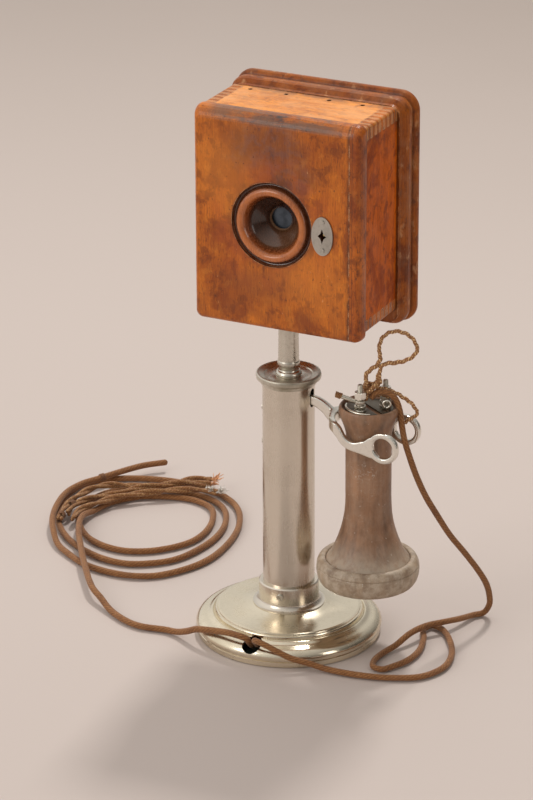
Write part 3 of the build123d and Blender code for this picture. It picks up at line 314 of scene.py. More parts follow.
# ------------------------------------------------------------------ material helpers
def shade(colour, factor):
    """Colour times one number, or times one number per channel."""
    factors = factor if isinstance(factor, tuple) else (factor,) * 3
    return tuple(c * f for c, f in zip(colour, factors))


def srgb(*channels):
    """Linear colour from 0-255 display values."""
    def linear(c):
        return (c / 255) / 12.92 if c / 255 <= 0.04045 else ((c / 255 + 0.055) / 1.055) ** 2.4
    return tuple(linear(c) for c in channels)


class Field:
    """A value in a shader. Arithmetic on it adds Math nodes."""

    def __init__(self, shader, socket):
        self.shader = shader
        self.socket = socket

    def math(self, operation, other=0.0):
        return self.shader.math(operation, self, other)

    def __add__(self, other):
        return self.math("ADD", other)

    def __sub__(self, other):
        return self.math("SUBTRACT", other)

    def __rsub__(self, other):
        return self.shader.math("SUBTRACT", other, self)

    def __mul__(self, other):
        return self.math("MULTIPLY", other)

    def __pow__(self, other):
        return self.math("POWER", other)

    def gap(self, other):
        """Distance to a number."""
        return (self - other).math("ABSOLUTE")

    def span(self, start, end, out_start=0.0, out_end=1.0):
        """Smooth ramp: start gives out_start, end gives out_end. start may be the larger."""
        values = enumerate((self, start, end, out_start, out_end))
        return self.shader.node("MapRange", dict(values), interpolation_type="SMOOTHSTEP")


class Shader:
    """A material in the making. colour is the base colour, laid up coat by coat with paint."""

    INPUTS = {"coat": "Coat Weight", "coat_rough": "Coat Roughness",
              "sheen": "Sheen Weight", "spec": "Specular IOR Level"}

    def __init__(self, name):
        self.material = bpy.data.materials.new(name)
        self.material.use_nodes = True
        self.tree = self.material.node_tree
        for node in list(self.tree.nodes):
            self.tree.nodes.remove(node)
        output = self.tree.nodes.new("ShaderNodeOutputMaterial")
        self.principled = self.tree.nodes.new("ShaderNodeBsdfPrincipled")
        self.tree.links.new(self.principled.outputs[0], output.inputs[0])
        self.position = self.node("TexCoord", {}, "Object")
        self.colour = None

    def put(self, socket, value):
        if isinstance(value, Field):
            self.tree.links.new(value.socket, socket)
        else:
            socket.default_value = value

    def node(self, kind, inputs, output=0, **settings):
        node = self.tree.nodes.new("ShaderNode" + kind)
        for key, value in settings.items():
            setattr(node, key, value)
        for key, value in inputs.items():
            self.put(node.inputs[key], value)
        return Field(self, node.outputs[output])

    def math(self, operation, first, second):
        return self.node("Math", {0: first, 1: second, 2: 0.0}, operation=operation)

    def vector(self, operation, first, second):
        return self.node("VectorMath", {0: first, 1: second}, operation=operation)

    def xyz(self, vector=None):
        split = self.node("SeparateXYZ", {0: vector or self.position}).socket.node
        return [Field(self, socket) for socket in split.outputs]

    def cord_uv(self):
        """Places round and along a cord."""
        return self.xyz(self.node("UVMap", {}))[:2]

    def join(self, x, y, z):
        return self.node("CombineXYZ", {0: x, 1: y, 2: z})

    def radius(self, first, second):
        return (first ** 2.0 + second ** 2.0) ** 0.5

    def raw_noise(self, vector, detail=4, rough=0.6, distort=0.0, scale=1.0):
        return self.node("TexNoise", {"Vector": vector, "Scale": scale, "Detail": detail,
                                      "Roughness": rough, "Distortion": distort})

    def noise(self, scale, coords=None, detail=4, rough=0.6, loc=(0, 0, 0), distort=0.0):
        """Noise with scale cells per metre, one number or one per axis, shifted by loc."""
        scales = scale if isinstance(scale, tuple) else (scale,) * 3
        vector = self.node("Mapping", {"Vector": coords or self.position, "Scale": scales,
                                       "Location": loc})
        return self.raw_noise(vector, detail, rough, distort)

    def ramp(self, factor, stops):
        colour = self.node("ValToRGB", {0: factor})
        elements = colour.socket.node.color_ramp.elements
        while len(elements) < len(stops):
            elements.new(0.5)
        for element, (position, rgb) in zip(elements, stops):
            element.position = position
            element.color = (*rgb, 1)
        return colour

    def mix(self, factor, first, second):
        first, second = (c if isinstance(c, Field) else (*c, 1) for c in (first, second))
        return self.node("Mix", {0: factor, 6: first, 7: second}, 2,
                         data_type="RGBA", clamp_factor=True)

    def paint(self, colour, mask, amount=None):
        """Lays colour over the base colour where mask is high, at most by amount."""
        if amount is not None:
            mask = mask * amount
        self.colour = self.mix(mask, self.colour, colour)

    def edge(self, radius, low=0.02, high=0.25):
        """1 near edges, from the difference between the rounded and the true normal."""
        rounded = self.node("Bevel", {"Radius": radius}, samples=6)
        true = self.node("NewGeometry", {}, "Normal")
        dot = self.node("VectorMath", {0: rounded, 1: true}, "Value", operation="DOT_PRODUCT")
        return (1.0 - dot).span(low, high)

    def blob(self, centre, size, soft, warp, scale):
        """Soft patch round centre with half sizes, its outline broken by noise."""
        offset = self.vector("SUBTRACT", self.position, centre)
        offset = self.vector("MULTIPLY", offset, tuple(1.0 / s for s in size))
        length = self.node("VectorMath", {0: offset}, "Value", operation="LENGTH")
        noise = self.raw_noise(self.position, detail=5, scale=scale)
        length = length + (noise - 0.5) * (warp * 2)
        return length.span(1.0 + soft * 0.5, 1.0 - soft * 0.5)

    def finish(self, rough, height, *, strength, distance, metal=0.0, **others):
        """Wires the surface up. height is the bump field; distance is its depth."""
        bump = {"Height": height, "Strength": strength, "Distance": distance}
        inputs = {"Base Color": self.colour, "Roughness": rough, "Metallic": metal,
                  "Normal": self.node("Bump", bump)}
        for key, value in others.items():
            inputs[self.INPUTS[key]] = value
        for key, value in inputs.items():
            self.put(self.principled.inputs[key], value)
        return self.material


# ------------------------------------------------------------------ woods
def wood(name, grain="Z", tint=(1, 1, 1), seed=0.0, dark=0.0, marks=None,
         edge_wear_and_highlight=0.6, mottle=1.0, gloss=1.0):
    """Old polished wood with its grain along Z or X; marks(mat) adds worn places of its own."""
    mat = Shader(name)
    x, y, z = mat.xyz()
    turned_xyz = mat.join(z, y, x) if grain == "X" else mat.join(x, y, z)
    coords = mat.vector("ADD", turned_xyz, (seed * 0.37, seed * 0.21, seed * 0.53))
    warp = mat.noise((14, 14, 3.2), coords, detail=3, rough=0.5)
    warped = mat.vector("ADD", coords, mat.join(warp * 0.012, warp * 0.009, 0.0))
    bands = mat.noise((170, 170, 9), warped, detail=5, rough=0.65)
    streak = mat.noise((1300, 1300, 55), warped, detail=5, rough=0.65)
    fibre = mat.noise((3200, 3200, 260), warped, detail=3)
    pores = mat.noise((2100, 2100, 190), warped, detail=2, rough=0.5).span(0.60, 0.70)
    blotch = mat.noise((30, 30, 24), coords, detail=6, rough=0.62, distort=0.4)
    fine_blotch = mat.noise((120, 120, 95), coords, detail=5, rough=0.62, distort=0.3)
    wide = mat.noise((13, 13, 11), coords, rough=0.55, loc=(5, 2, 8), distort=0.3)

    # grain from dark to light
    stops = [(0.32, (0.27, 0.066, 0.010)), (0.45, (0.50, 0.140, 0.020)),
             (0.54, (0.63, 0.195, 0.029)), (0.68, (0.76, 0.285, 0.052))]
    mat.colour = mat.ramp(bands * 0.30 + streak * 0.42 + fibre * 0.28,
                          [(position, shade(rgb, tint)) for position, rgb in stops])
    # darker and lighter blotches, large to small
    for rgb, field, start, end, amount in (
            ((0.30, 0.068, 0.012), wide, 0.50, 0.68, 0.55),
            ((0.24, 0.050, 0.011), blotch, 0.51, 0.62, 0.70),
            ((0.84, 0.285, 0.040), blotch, 0.47, 0.30, 0.50),
            ((0.18, 0.042, 0.012), fine_blotch, 0.52, 0.64, 0.62),
            ((0.80, 0.33, 0.085), fine_blotch, 0.46, 0.32, 0.25)):
        mat.paint(shade(rgb, tint), field.span(start, end, 0, amount * mottle))
    mat.paint((0.070, 0.018, 0.006), pores, amount=0.62)
    if dark:
        mat.paint((0.10, 0.035, 0.014), dark)
    if marks:
        marks(mat)

    # dirt beside the edges, bare wood with a painted highlight on them, painted shade in the
    # recesses
    edge = mat.edge(0.0013)
    near_edge = mat.edge(0.0028, 0.004, 0.10)
    dirt = mat.noise(60, detail=5, rough=0.65, loc=(3, 1, 2)).span(0.40, 0.58)
    mat.paint((0.105, 0.032, 0.014), near_edge * dirt, amount=0.72)
    # pale edges: wear, and a painted highlight along them
    wear_and_highlight = edge * mat.noise(150, detail=5, rough=0.65).span(0.42, 0.60)
    mat.paint((0.82, 0.47, 0.24), wear_and_highlight, amount=min(1.0, edge_wear_and_highlight * 1.35))
    # painted shade: darker where ambient occlusion is low
    painted_shade_ao = mat.node("AmbientOcclusion", {"Distance": 0.009}, "AO")
    mat.paint((0.050, 0.016, 0.007), painted_shade_ao.span(0.80, 0.35, 0, 0.85))

    height = streak * 0.6 + fibre * 0.4 - pores * 0.5 + fine_blotch * 0.6
    rough = mat.noise((60, 60, 40), coords).span(0.3, 0.7, 0.30, 0.50)
    return mat.finish(rough, height, strength=0.28, distance=0.0003,
                      coat=0.22 * gloss, coat_rough=0.13, spec=0.30 * gloss)


def door_marks(mat):
    """Stains above the mouthpiece, a grey band along the top, dark low edge and halo."""
    x, _, z = mat.xyz()

    def patch(x, z, half_x, half_z, soft, warp, scale):
        return mat.blob((x, -0.02, z), (half_x, 0.05, half_z), soft, warp, scale)

    stain = (patch(-0.008, 0.386, 0.030, 0.021, soft=1.0, warp=0.55, scale=60) * 0.60).math(
        "MAXIMUM", patch(0.012, 0.366, 0.017, 0.014, soft=0.9, warp=0.6, scale=75) * 0.55)
    stain = stain.math(
        "MAXIMUM", patch(0.002, 0.376, 0.008, 0.016, soft=0.9, warp=0.5, scale=110) * 0.60)
    grey = mat.noise(150).span(0.40, 0.62)
    mat.paint(mat.mix(grey, (0.155, 0.050, 0.024), (0.105, 0.068, 0.070)), stain)
    # band along the top and its darker core
    band = z.span(0.4020, 0.4052) * mat.noise((30, 30, 170), detail=5, rough=0.7).span(0.36, 0.56)
    middle = x.span(0.060, 0.036) * x.span(-0.064, -0.044)
    mat.paint((0.150, 0.098, 0.072), band * middle, amount=0.72)
    band = z.span(0.4030, 0.4050) * mat.noise((36, 36, 120), loc=(3, 0, 0)).span(0.40, 0.55)
    middle = x.span(0.036, 0.016) * x.span(-0.036, -0.014)
    mat.paint((0.055, 0.058, 0.064), band * middle, amount=0.92)
    low = z.span(0.292, 0.250) * mat.noise((46, 46, 34), detail=5, rough=0.62).span(0.35, 0.62)
    mat.paint((0.24, 0.060, 0.014), low, amount=0.55)
    # dark ring round the mouthpiece, with a redder one outside it
    radius = mat.radius(x - MOUTH_X * MM, z - MOUTH_Z * MM)
    halo = radius.span(0.041, 0.0325) * mat.noise(110).span(0.25, 0.6)
    mat.paint((0.125, 0.032, 0.010), halo, amount=0.45)
    red = radius.span(0.060, 0.040) * mat.noise(50, loc=(2, 2, 6)).span(0.40, 0.60)
    mat.paint((0.50, 0.095, 0.022), red, amount=0.35)
    # one dark patch and two warm ones
    dark = patch(-0.012, 0.283, 0.028, 0.012, soft=1.1, warp=0.6, scale=60)
    mat.paint((0.17, 0.048, 0.020), dark, amount=0.40)
    glow = patch(-0.040, 0.366, 0.022, 0.030, soft=1.3, warp=0.5, scale=45)
    mat.paint((0.80, 0.27, 0.040), glow, amount=0.35)
    glow = patch(0.030, 0.292, 0.024, 0.022, soft=1.3, warp=0.5, scale=45)
    mat.paint((0.78, 0.26, 0.040), glow, amount=0.30)
    spots = mat.noise(420, detail=2, rough=0.5, loc=(1, 5, 2)).span(0.68, 0.75)
    mat.paint((0.085, 0.027, 0.012), spots, amount=0.65)
    # painted shade in the crease between the door and the cleat
    right = x.span(0.0550, 0.0575) * mat.noise((300, 300, 120)).span(0.35, 0.6)
    mat.paint((0.10, 0.030, 0.010), right, amount=0.75)
    pale = mat.noise((330, 330, 200), detail=3, loc=(7, 2, 9)).span(0.69, 0.76)
    mat.paint((0.80, 0.42, 0.17), pale, amount=0.45)


def cleat_marks(mat):
    """Dark specks and one upright line."""
    specks = mat.noise((520, 520, 300), detail=3).span(0.56, 0.68)
    mat.paint((0.13, 0.040, 0.014), specks, amount=0.75)
    x = mat.xyz()[0]
    mat.paint((0.10, 0.030, 0.012), x.gap(0.0602).span(0.0005, 0.0001), amount=0.55)


def bottom_marks(mat):
    specks = mat.noise(260, detail=5, rough=0.65).span(0.48, 0.66)
    mat.paint((0.16, 0.055, 0.022), specks, amount=0.22)


def top_marks(mat):
    """Pale rubbing, a dark rear edge and darker -X and +X ends."""
    x, y, _ = mat.xyz()
    mat.paint((0.86, 0.42, 0.17), mat.noise((30, 80, 60)).span(0.40, 0.66), amount=0.45)
    rear = y.span(0.030, 0.043) * mat.noise(60).span(0.35, 0.6)
    mat.paint((0.17, 0.065, 0.03), rear, amount=0.7)
    mat.paint((0.50, 0.165, 0.035), x.math("ABSOLUTE").span(0.0566, 0.0569), amount=0.62)


def side_marks(mat):
    """A different tone on the top and bottom ends, and darker towards the top."""
    z = mat.xyz()[2]
    ends = z.span(0.3992, 0.3996).math("MAXIMUM", z.span(0.2629, 0.2625))
    mat.paint((0.60, 0.22, 0.055), ends, amount=0.45)
    darker_top = z.span(0.375, 0.408) * mat.noise((80, 80, 60)).span(0.40, 0.62)
    mat.paint((0.13, 0.05, 0.03), darker_top, amount=0.35)


def back_marks(mat):
    grey = mat.noise(42, detail=5, rough=0.65).span(0.42, 0.64)
    mat.paint((0.30, 0.145, 0.075), grey, amount=0.36)
    rub = mat.noise((160, 160, 90), loc=(4, 4, 1)).span(0.56, 0.70)
    mat.paint((0.80, 0.43, 0.20), rub, amount=0.4)


def turned_wood(name):
    """The mouthpiece: dark turned wood coloured in rings about its axis."""
    mat = Shader(name)
    x, _, z = mat.xyz()
    across = x - MOUTH_X * MM
    above = z - MOUTH_Z * MM
    radius = mat.radius(across, above)
    grain = mat.noise((900, 900, 70), detail=5)
    lines = mat.raw_noise(mat.join(radius * 2600.0, 0.0, 0.0), detail=3)
    mat.colour = mat.ramp(grain, [(0.30, (0.085, 0.020, 0.005)), (0.50, (0.22, 0.052, 0.011)),
                                  (0.68, (0.38, 0.105, 0.026))])
    # painted shade in the groove between the flange and the ring
    mat.paint((0.060, 0.016, 0.005), radius.gap(0.0298).span(0.0030, 0.0012), amount=0.85)
    rim = radius.span(0.0310, 0.0318) * mat.noise(120).span(0.4, 0.6)
    mat.paint((0.36, 0.15, 0.07), rim, amount=0.5)
    ring = radius.gap(0.0246).span(0.0040, 0.0014)
    worn = mat.noise(90).span(0.26, 0.56, 0.45, 1.0)
    mat.paint((0.60, 0.175, 0.036), ring * worn, amount=0.82)
    # painted light and shade in the bowl: darkest towards its upper -X side, lit towards its
    # lower +X side
    bowl_light_slope = (above - across * 0.6).span(-0.018, 0.008)
    bowl_painted_shading = mat.mix(bowl_light_slope, (0.100, 0.042, 0.016), (0.012, 0.004, 0.002))
    mat.paint(bowl_painted_shading, radius.span(0.0212, 0.0185), amount=0.90)
    mat.paint((0.06, 0.02, 0.008), lines.span(0.5, 0.7), amount=0.22)
    # painted highlight: pale ring at the edge of the hole
    mat.paint((0.34, 0.20, 0.11), radius.gap(0.0083).span(0.0008, 0.0003), amount=0.55)
    return mat.finish(grain.span(0.3, 0.7, 0.20, 0.34), grain * 0.5 + lines * 0.5,
                      strength=0.15, distance=0.0002, coat=0.55, coat_rough=0.07, spec=0.5)


# ------------------------------------------------------------------ metals and rubber
def nickel(name, base, tarnish, amount=0.5, rough=(0.20, 0.36), brushed=None, seed=0.0):
    """Tarnished plate, brushed along Z, in rings about Z ("R") or not at all."""
    mat = Shader(name)
    coords = mat.vector("ADD", mat.position, (seed, seed * 0.7, seed * 1.3))
    big = mat.noise(26, coords, detail=5, rough=0.62)
    fine = mat.noise(340, coords)
    specks = mat.noise(1100, coords, detail=2, rough=0.5).span(0.66, 0.76)
    brush = fine
    if brushed == "Z":
        brush = mat.noise((2400, 2400, 30), coords, detail=3)
    elif brushed == "R":
        x, y, z = mat.xyz()
        brush = mat.raw_noise(mat.join(mat.radius(x, y) * 2200.0, z * 2200.0, 0.0), detail=3)
    mat.colour = mat.mix(big.span(0.46, 0.70) * amount, base, tarnish)
    mat.paint(shade(tarnish, (0.7, 0.66, 0.6)), fine.span(0.50, 0.72), amount=0.25 * amount)
    mat.paint((0.14, 0.11, 0.08), specks, amount=0.5 * amount)
    mat.paint((0.86, 0.82, 0.74), mat.edge(0.0007), amount=0.25)
    return mat.finish(big.span(0.35, 0.70, *rough) + (brush - 0.5) * 0.16,
                      brush * 0.5 + fine * 0.5, strength=0.035, distance=0.0002, metal=1.0)


def rubber(name, chalk, base=(0.262, 0.132, 0.068), dark=(0.115, 0.054, 0.027),
           chalk_rgb=(0.47, 0.385, 0.295), chalk_z=None, seed=0.0, rough=(0.38, 0.55)):
    """Old hard rubber with a chalky bloom, heavier between the two heights in chalk_z."""
    mat = Shader(name)
    x, y, z = mat.xyz()
    angle = y.math("ARCTAN2", x - RECEIVER_X * MM)
    coords = mat.vector("ADD", mat.position, (seed, seed, seed))
    streaks = mat.noise((210, 210, 17), coords, detail=5, rough=0.65)
    cloud = mat.noise((45, 45, 24), coords, detail=5, rough=0.62)
    fine = mat.noise(800, coords, detail=3)
    mat.colour = mat.ramp(streaks * 0.45 + cloud * 0.55,
                          [(0.34, dark), (0.50, base), (0.66, shade(base, (1.55, 1.6, 1.65)))])
    powder = mat.noise(120, coords, detail=6, rough=0.7).span(0.36, 0.68)
    bloom = powder * chalk
    if chalk_z:
        full, clear = chalk_z
        cover = mat.noise((160, 160, 90), coords, detail=6, rough=0.7)
        low = z.span(clear, full) * cover.span(0.25, 0.6, 0.25, 0.95)
        bloom = bloom.math("MAXIMUM", low)
    mat.paint(chalk_rgb, bloom)
    flecks = mat.noise(260, coords, detail=2, rough=0.4, loc=(2, 6, 1)).span(0.74, 0.79)
    mat.paint((0.62, 0.56, 0.47), flecks, amount=0.85)
    # long fine scratches round the piece
    contour = mat.raw_noise(mat.join(angle * 3.0, z * 900.0, 0.3),
                            detail=2, rough=0.5, distort=0.6)
    scratches = contour.gap(0.5).span(0.010, 0.002) * cloud.span(0.50, 0.62)
    mat.paint((0.55, 0.47, 0.38), scratches, amount=0.35)
    mat.paint(shade(chalk_rgb, (0.9, 0.85, 0.8)), mat.edge(0.0009), amount=0.35)
    # a patch of scribbled scratches on the front of the receiver
    contour = mat.noise((210, 210, 150), detail=2, rough=0.5, loc=(6, 1, 3), distort=0.6)
    where = mat.blob((RECEIVER_X * MM + 0.002, -0.015, 0.148), (0.010, 0.02, 0.007),
                     soft=1.0, warp=0.3, scale=120)
    mat.paint((0.62, 0.57, 0.50), contour.gap(0.5).span(0.012, 0.004) * where, amount=0.8)
    chips = mat.noise(380, detail=2, rough=0.5, loc=(2, 7, 5)).span(0.715, 0.745)
    mat.paint((0.60, 0.55, 0.47), chips, amount=0.6)
    return mat.finish(streaks.span(0.3, 0.7, *rough) + bloom * 0.25, fine * 0.4 + powder * 0.6,
                      strength=0.12, distance=0.0003, spec=0.5, coat=0.12, coat_rough=0.25)


def metal(name, base, dark, rough, metallic=1.0, scale=60.0, bump=0.1, grain=900.0):
    mat = Shader(name)
    big = mat.noise(scale, detail=5, rough=0.62)
    fine = mat.noise(grain)
    mat.colour = mat.mix(big.span(0.40, 0.70), base, dark)
    mat.paint(shade(dark, 0.6), fine.span(0.5, 0.75), amount=0.35)
    bright = tuple(min(1, c) for c in shade(base, 1.25))
    mat.paint(bright, mat.edge(0.0006), amount=0.3)
    return mat.finish(big.span(0.35, 0.7, *rough), fine,
                      strength=bump, distance=0.0002, metal=metallic)


# ------------------------------------------------------------------ cloth and cords
def fabric(name, light, dark, scale, sheen):
    mat = Shader(name)
    weave = mat.noise(scale, detail=3)
    patches = mat.noise(90, detail=5)
    mat.colour = mat.mix(weave.span(0.35, 0.65), light, dark)
    mat.paint(shade(dark, 0.6), patches.span(0.45, 0.7), amount=0.4)
    return mat.finish(0.9, weave, strength=0.5, distance=0.0004, sheen=sheen)


def winding(name, light, dark):
    """Silk-covered wire wound in level turns."""
    turn = 0.00028
    mat = Shader(name)
    z = mat.xyz()[2]
    wave = (z * (2 * math.pi / turn)).math("SINE")
    mat.colour = mat.mix(wave.span(-0.6, 0.5), dark, light)
    mat.paint(shade(dark, 0.7), mat.noise((300, 300, 60)).span(0.45, 0.7), amount=0.35)
    return mat.finish(0.55, wave, strength=0.4, distance=0.0001, sheen=0.2)


def braid(name, tinsel=0.0, carriers=6, pitch=BRAID_PITCH, tone=1.0):
    """Light and dark threads crossing in a diamond braid, with fuzz, soil and tinsel flecks."""
    mat = Shader(name)
    around_cord, along = mat.cord_uv()
    turn = around_cord * (2 * math.pi * carriers)
    twist = along * (2 * math.pi / (pitch * MM))
    first = (turn + twist).math("COSINE")
    second = (turn - twist).math("COSINE")
    relief = first.math("MAXIMUM", second)

    def coat(rgb, mask, amount=None):
        mat.paint(shade(rgb, tone), mask, amount)

    mat.colour = mat.mix((first - second).span(-0.25, 0.25),
                         shade((0.235, 0.092, 0.026), tone), shade((0.345, 0.150, 0.050), tone))
    # painted shade in the valleys between the raised threads
    coat((0.125, 0.046, 0.018), relief.span(0.6, -0.3, 0, 0.55))
    fuzz = mat.noise(1500, detail=3, rough=0.65)
    coat((0.50, 0.27, 0.125), fuzz.span(0.45, 0.7), amount=0.35)
    soil = mat.raw_noise(mat.join(0.0, 0.0, along * 28.0))
    side = mat.raw_noise(mat.join(around_cord * 2.0, 0.0, along * 70.0))
    coat((0.19, 0.076, 0.032), soil.span(0.48, 0.70, 0, 0.5))
    coat((0.17, 0.068, 0.028), side.span(0.52, 0.68, 0, 0.45))
    coat((0.52, 0.25, 0.10), soil.span(0.44, 0.30, 0, 0.40))
    rough, metallic = 0.82, 0.0
    if tinsel:
        flecks = mat.noise(800, detail=2, rough=0.5, loc=(3, 1, 4)).span(0.55, 0.60)
        metallic = flecks * tinsel
        rough = rough - metallic * 0.45
        mat.paint((0.90, 0.62, 0.30), metallic)
    lint = mat.raw_noise(mat.join(around_cord * 22.0, 0.0, along * 260.0), rough=0.65)
    coat((0.105, 0.040, 0.014), lint.span(0.50, 0.66, 0, 0.60))
    coat((0.56, 0.28, 0.11), lint.span(0.46, 0.34, 0, 0.35))
    return mat.finish(rough, relief * 0.5 + fuzz * 0.5, strength=0.45, distance=0.0004,
                      metal=metallic, sheen=0.18, spec=0.3)


def tinsel_wire(name):
    """Brown thread twisted with bright copper foil that shows through."""
    mat = Shader(name)
    around_cord, along = mat.cord_uv()
    twist = (along * (2 * math.pi / 0.0017) + around_cord * (4 * math.pi)).math("SINE")
    noise = mat.noise(700, detail=3)
    foil = twist.span(0.1, 0.8) * noise.span(0.44, 0.54)
    mat.colour = mat.mix(foil, (0.33, 0.145, 0.052), (1.0, 0.70, 0.36))
    mat.paint((0.10, 0.04, 0.018), noise.span(0.55, 0.7), amount=0.5)
    return mat.finish(0.75 - foil * 0.45, twist, strength=0.5, distance=0.0002,
                      metal=foil, sheen=0.1)


# ------------------------------------------------------------------ the materials
MATERIALS = {
    "door": wood("wood_door", tint=(1.02, 0.88, 0.39), seed=1.0, marks=door_marks,
                 edge_wear_and_highlight=0.55),
    "cleat": wood("wood_cleat", tint=(0.8, 0.612, 0.33), seed=2.3, marks=cleat_marks),
    "top": wood("wood_top", grain="X", tint=(1.545, 1.729, 1.154), seed=3.1, marks=top_marks,
                mottle=0.6),
    "bottom": wood("wood_bottom", grain="X", seed=4.7, marks=bottom_marks),
    "side": wood("wood_side", tint=(1.073, 0.702, 0.141), seed=5.9, marks=side_marks,
                 gloss=0.22),
    "back": wood("wood_back", tint=(0.682, 0.568, 0.328), seed=7.7, marks=back_marks,
                 edge_wear_and_highlight=0.85, gloss=0.6),
    "spool": wood("wood_spool", tint=(0.8, 0.75, 0.7), seed=9.2, dark=0.2),
    "turned": turned_wood("turned_wood"),
    "nickel_tube": nickel("nickel_tube", base=(0.70, 0.635, 0.545), tarnish=(0.46, 0.39, 0.30),
                          brushed="Z", amount=0.22, rough=(0.22, 0.30)),
    "nickel_base": nickel("nickel_base", base=(0.80, 0.715, 0.56), tarnish=(0.52, 0.43, 0.29),
                          brushed="R", amount=0.40, rough=(0.17, 0.32), seed=1.7),
    "nickel_hook": nickel("nickel_hook", base=(0.82, 0.79, 0.72), tarnish=(0.58, 0.52, 0.43),
                          rough=(0.18, 0.32), seed=3.3),
    "nickel_small": nickel("nickel_small", base=(0.64, 0.60, 0.52), tarnish=(0.30, 0.26, 0.18),
                           amount=0.8, rough=(0.26, 0.45), seed=5.1),
    "nickel_dull": nickel("nickel_dull", base=(0.50, 0.47, 0.42), tarnish=(0.30, 0.27, 0.23),
                          amount=0.8, rough=(0.36, 0.52), seed=6.3),
    "rubber_body": rubber("rubber_body", chalk=0.16, chalk_z=(0.066, 0.098), seed=0.3),
    "rubber_cap": rubber("rubber_cap", chalk=0.85, base=(0.33, 0.235, 0.155),
                         dark=(0.19, 0.125, 0.080), chalk_rgb=(0.56, 0.465, 0.36), seed=1.9,
                         rough=(0.42, 0.6)),
    "rubber_block": rubber("rubber_block", chalk=0.1, base=(0.05, 0.03, 0.02),
                           dark=(0.02, 0.012, 0.01), seed=2.7),
    "brass": metal("brass", (0.72, 0.52, 0.24), (0.38, 0.25, 0.10), rough=(0.28, 0.48)),
    "iron": metal("cast_iron", (0.045, 0.043, 0.042), (0.022, 0.020, 0.019),
                  rough=(0.45, 0.65), metallic=0.6, scale=120.0, bump=0.35, grain=500.0),
    "steel": metal("steel", (0.56, 0.56, 0.57), (0.34, 0.33, 0.32), rough=(0.26, 0.42)),
    "diaphragm": metal("diaphragm_iron", (0.085, 0.105, 0.135), (0.045, 0.055, 0.07),
                       rough=(0.30, 0.45), metallic=0.5, scale=200.0),
    "felt": fabric("felt", (0.030, 0.085, 0.045), (0.014, 0.045, 0.022), scale=900, sheen=0.6),
    "silk": winding("silk_winding", (0.075, 0.22, 0.10), (0.020, 0.065, 0.030)),
    "leads": fabric("silk_leads", (0.075, 0.20, 0.09), (0.03, 0.09, 0.04),
                    scale=(2200, 2200, 700), sheen=0.3),
    "gasket": fabric("soft_rubber", (0.030, 0.029, 0.028), (0.015, 0.015, 0.015),
                     scale=600, sheen=0.0),
    "carbon": metal("carbon", (0.030, 0.030, 0.032), (0.012, 0.012, 0.013),
                    rough=(0.35, 0.55), metallic=0.2, scale=300.0, bump=0.3),
    "cord": braid("braided_cord"),
    "strand": braid("inner_strand", tinsel=0.35, carriers=4, pitch=2.4, tone=0.95),
    "thread": fabric("whipping_thread", (0.30, 0.14, 0.06), (0.14, 0.06, 0.028),
                     scale=2600, sheen=0.2),
    "grimy": nickel("grimy_plate", base=(0.20, 0.18, 0.14), tarnish=(0.07, 0.06, 0.045),
                    amount=0.9, rough=(0.35, 0.6), seed=8.8),
    "bright": nickel("bright_rim", base=(0.86, 0.83, 0.74), tarnish=(0.55, 0.50, 0.38),
                     rough=(0.18, 0.32), seed=4.4),
    "tinsel": tinsel_wire("tinsel_wire"),
    "copper": metal("frayed_copper", (0.86, 0.46, 0.24), (0.50, 0.22, 0.09),
                    rough=(0.28, 0.45), scale=400.0),
    "tin": metal("tinned_tips", (0.86, 0.83, 0.78), (0.55, 0.50, 0.44),
                 rough=(0.25, 0.4), scale=400.0),
}

# material -> CAD pieces that wear it
NODE_MATERIALS = {
    "nickel_base": "base_shell",
    "nickel_tube": "column_tube column_collar",
    "nickel_small": "column_cap stem collar_screw binding_posts binding_nuts cord_eye "
                    "switch_screws",
    "nickel_hook": "hook_lever",
    "grimy": "terminal_plate",
    "nickel_dull": "escutcheon escutcheon_screws",
    "iron": "base_ballast transmitter_ring adjusting_lever induction_core",
    "felt": "base_felt",
    "brass": "stem_nut hook_bracket moving_contact_spring fixed_contact_spring "
             "back_board_screws box_hinge_leaves door_hinge_leaves terminal_screws lock_case "
             "lock_bolt ring_screws platinum_spring carbon_holder adjusting_screw",
    "steel": "hook_pin hook_spring hinge_pins bar_magnet",
    "rubber_block": "switch_block",
    "leads": "inner_leads",
    "top": "box_top",
    "bottom": "box_bottom",
    "side": "box_side_left box_side_right",
    "back": "back_board",
    "door": "door_panel",
    "cleat": "door_cleat",
    "spool": "induction_spool receiver_bobbin",
    "silk": "induction_winding receiver_winding",
    "diaphragm": "diaphragm receiver_diaphragm",
    "gasket": "diaphragm_gasket",
    "carbon": "carbon_button",
    "turned": "mouthpiece",
    "rubber_body": "receiver_shell",
    "rubber_cap": "ear_cap",
}


def give(piece, material):
    piece.data.materials.clear()
    piece.data.materials.append(MATERIALS[material])


def place(piece, material, body, slot, *replaced):
    """Gives a finished piece its material and moving body, and hides the CAD pieces it replaces;
    slot is not used.
    """
    give(piece, material)
    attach(piece, body)
    if replaced:
        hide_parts(*replaced)


for key, nodes in NODE_MATERIALS.items():
    for node in nodes.split():
        give(NODES[node], key)

# ------------------------------------------------------------------ mouthpiece
# (radius, y): flange at the back, then rim groove, rounded ring and funnel at the front
mouth_outline = profile([
    ("L", [(8.0, -2.95), (37.2, -2.95), (37.2, -10.25), (32.0, -10.25), (32.0, -19.9)]),
    ("S", [(31.6, -19.0), (30.9, -18.1), (30.1, -17.9), (29.3, -18.4), (28.6, -19.8)]),
    ("S", [(27.7, -21.9), (26.3, -23.0), (24.8, -23.3), (23.2, -22.7), (21.8, -21.1),
           (20.4, -18.4)]),
    ("S", [(18.7, -15.4), (16.3, -12.9), (13.0, -9.7), (10.2, -6.9), (8.8, -4.9), (8.05, -3.6),
           (8.0, -2.95)]),
])
mouth = lathe("mouthpiece_turned", mouth_outline, (MOUTH_X, 0, MOUTH_Z), axis="Y",
              segments=176, corner=0.25, sharp=40)
place(mouth, "turned", "door", "turned_wood", "mouthpiece")

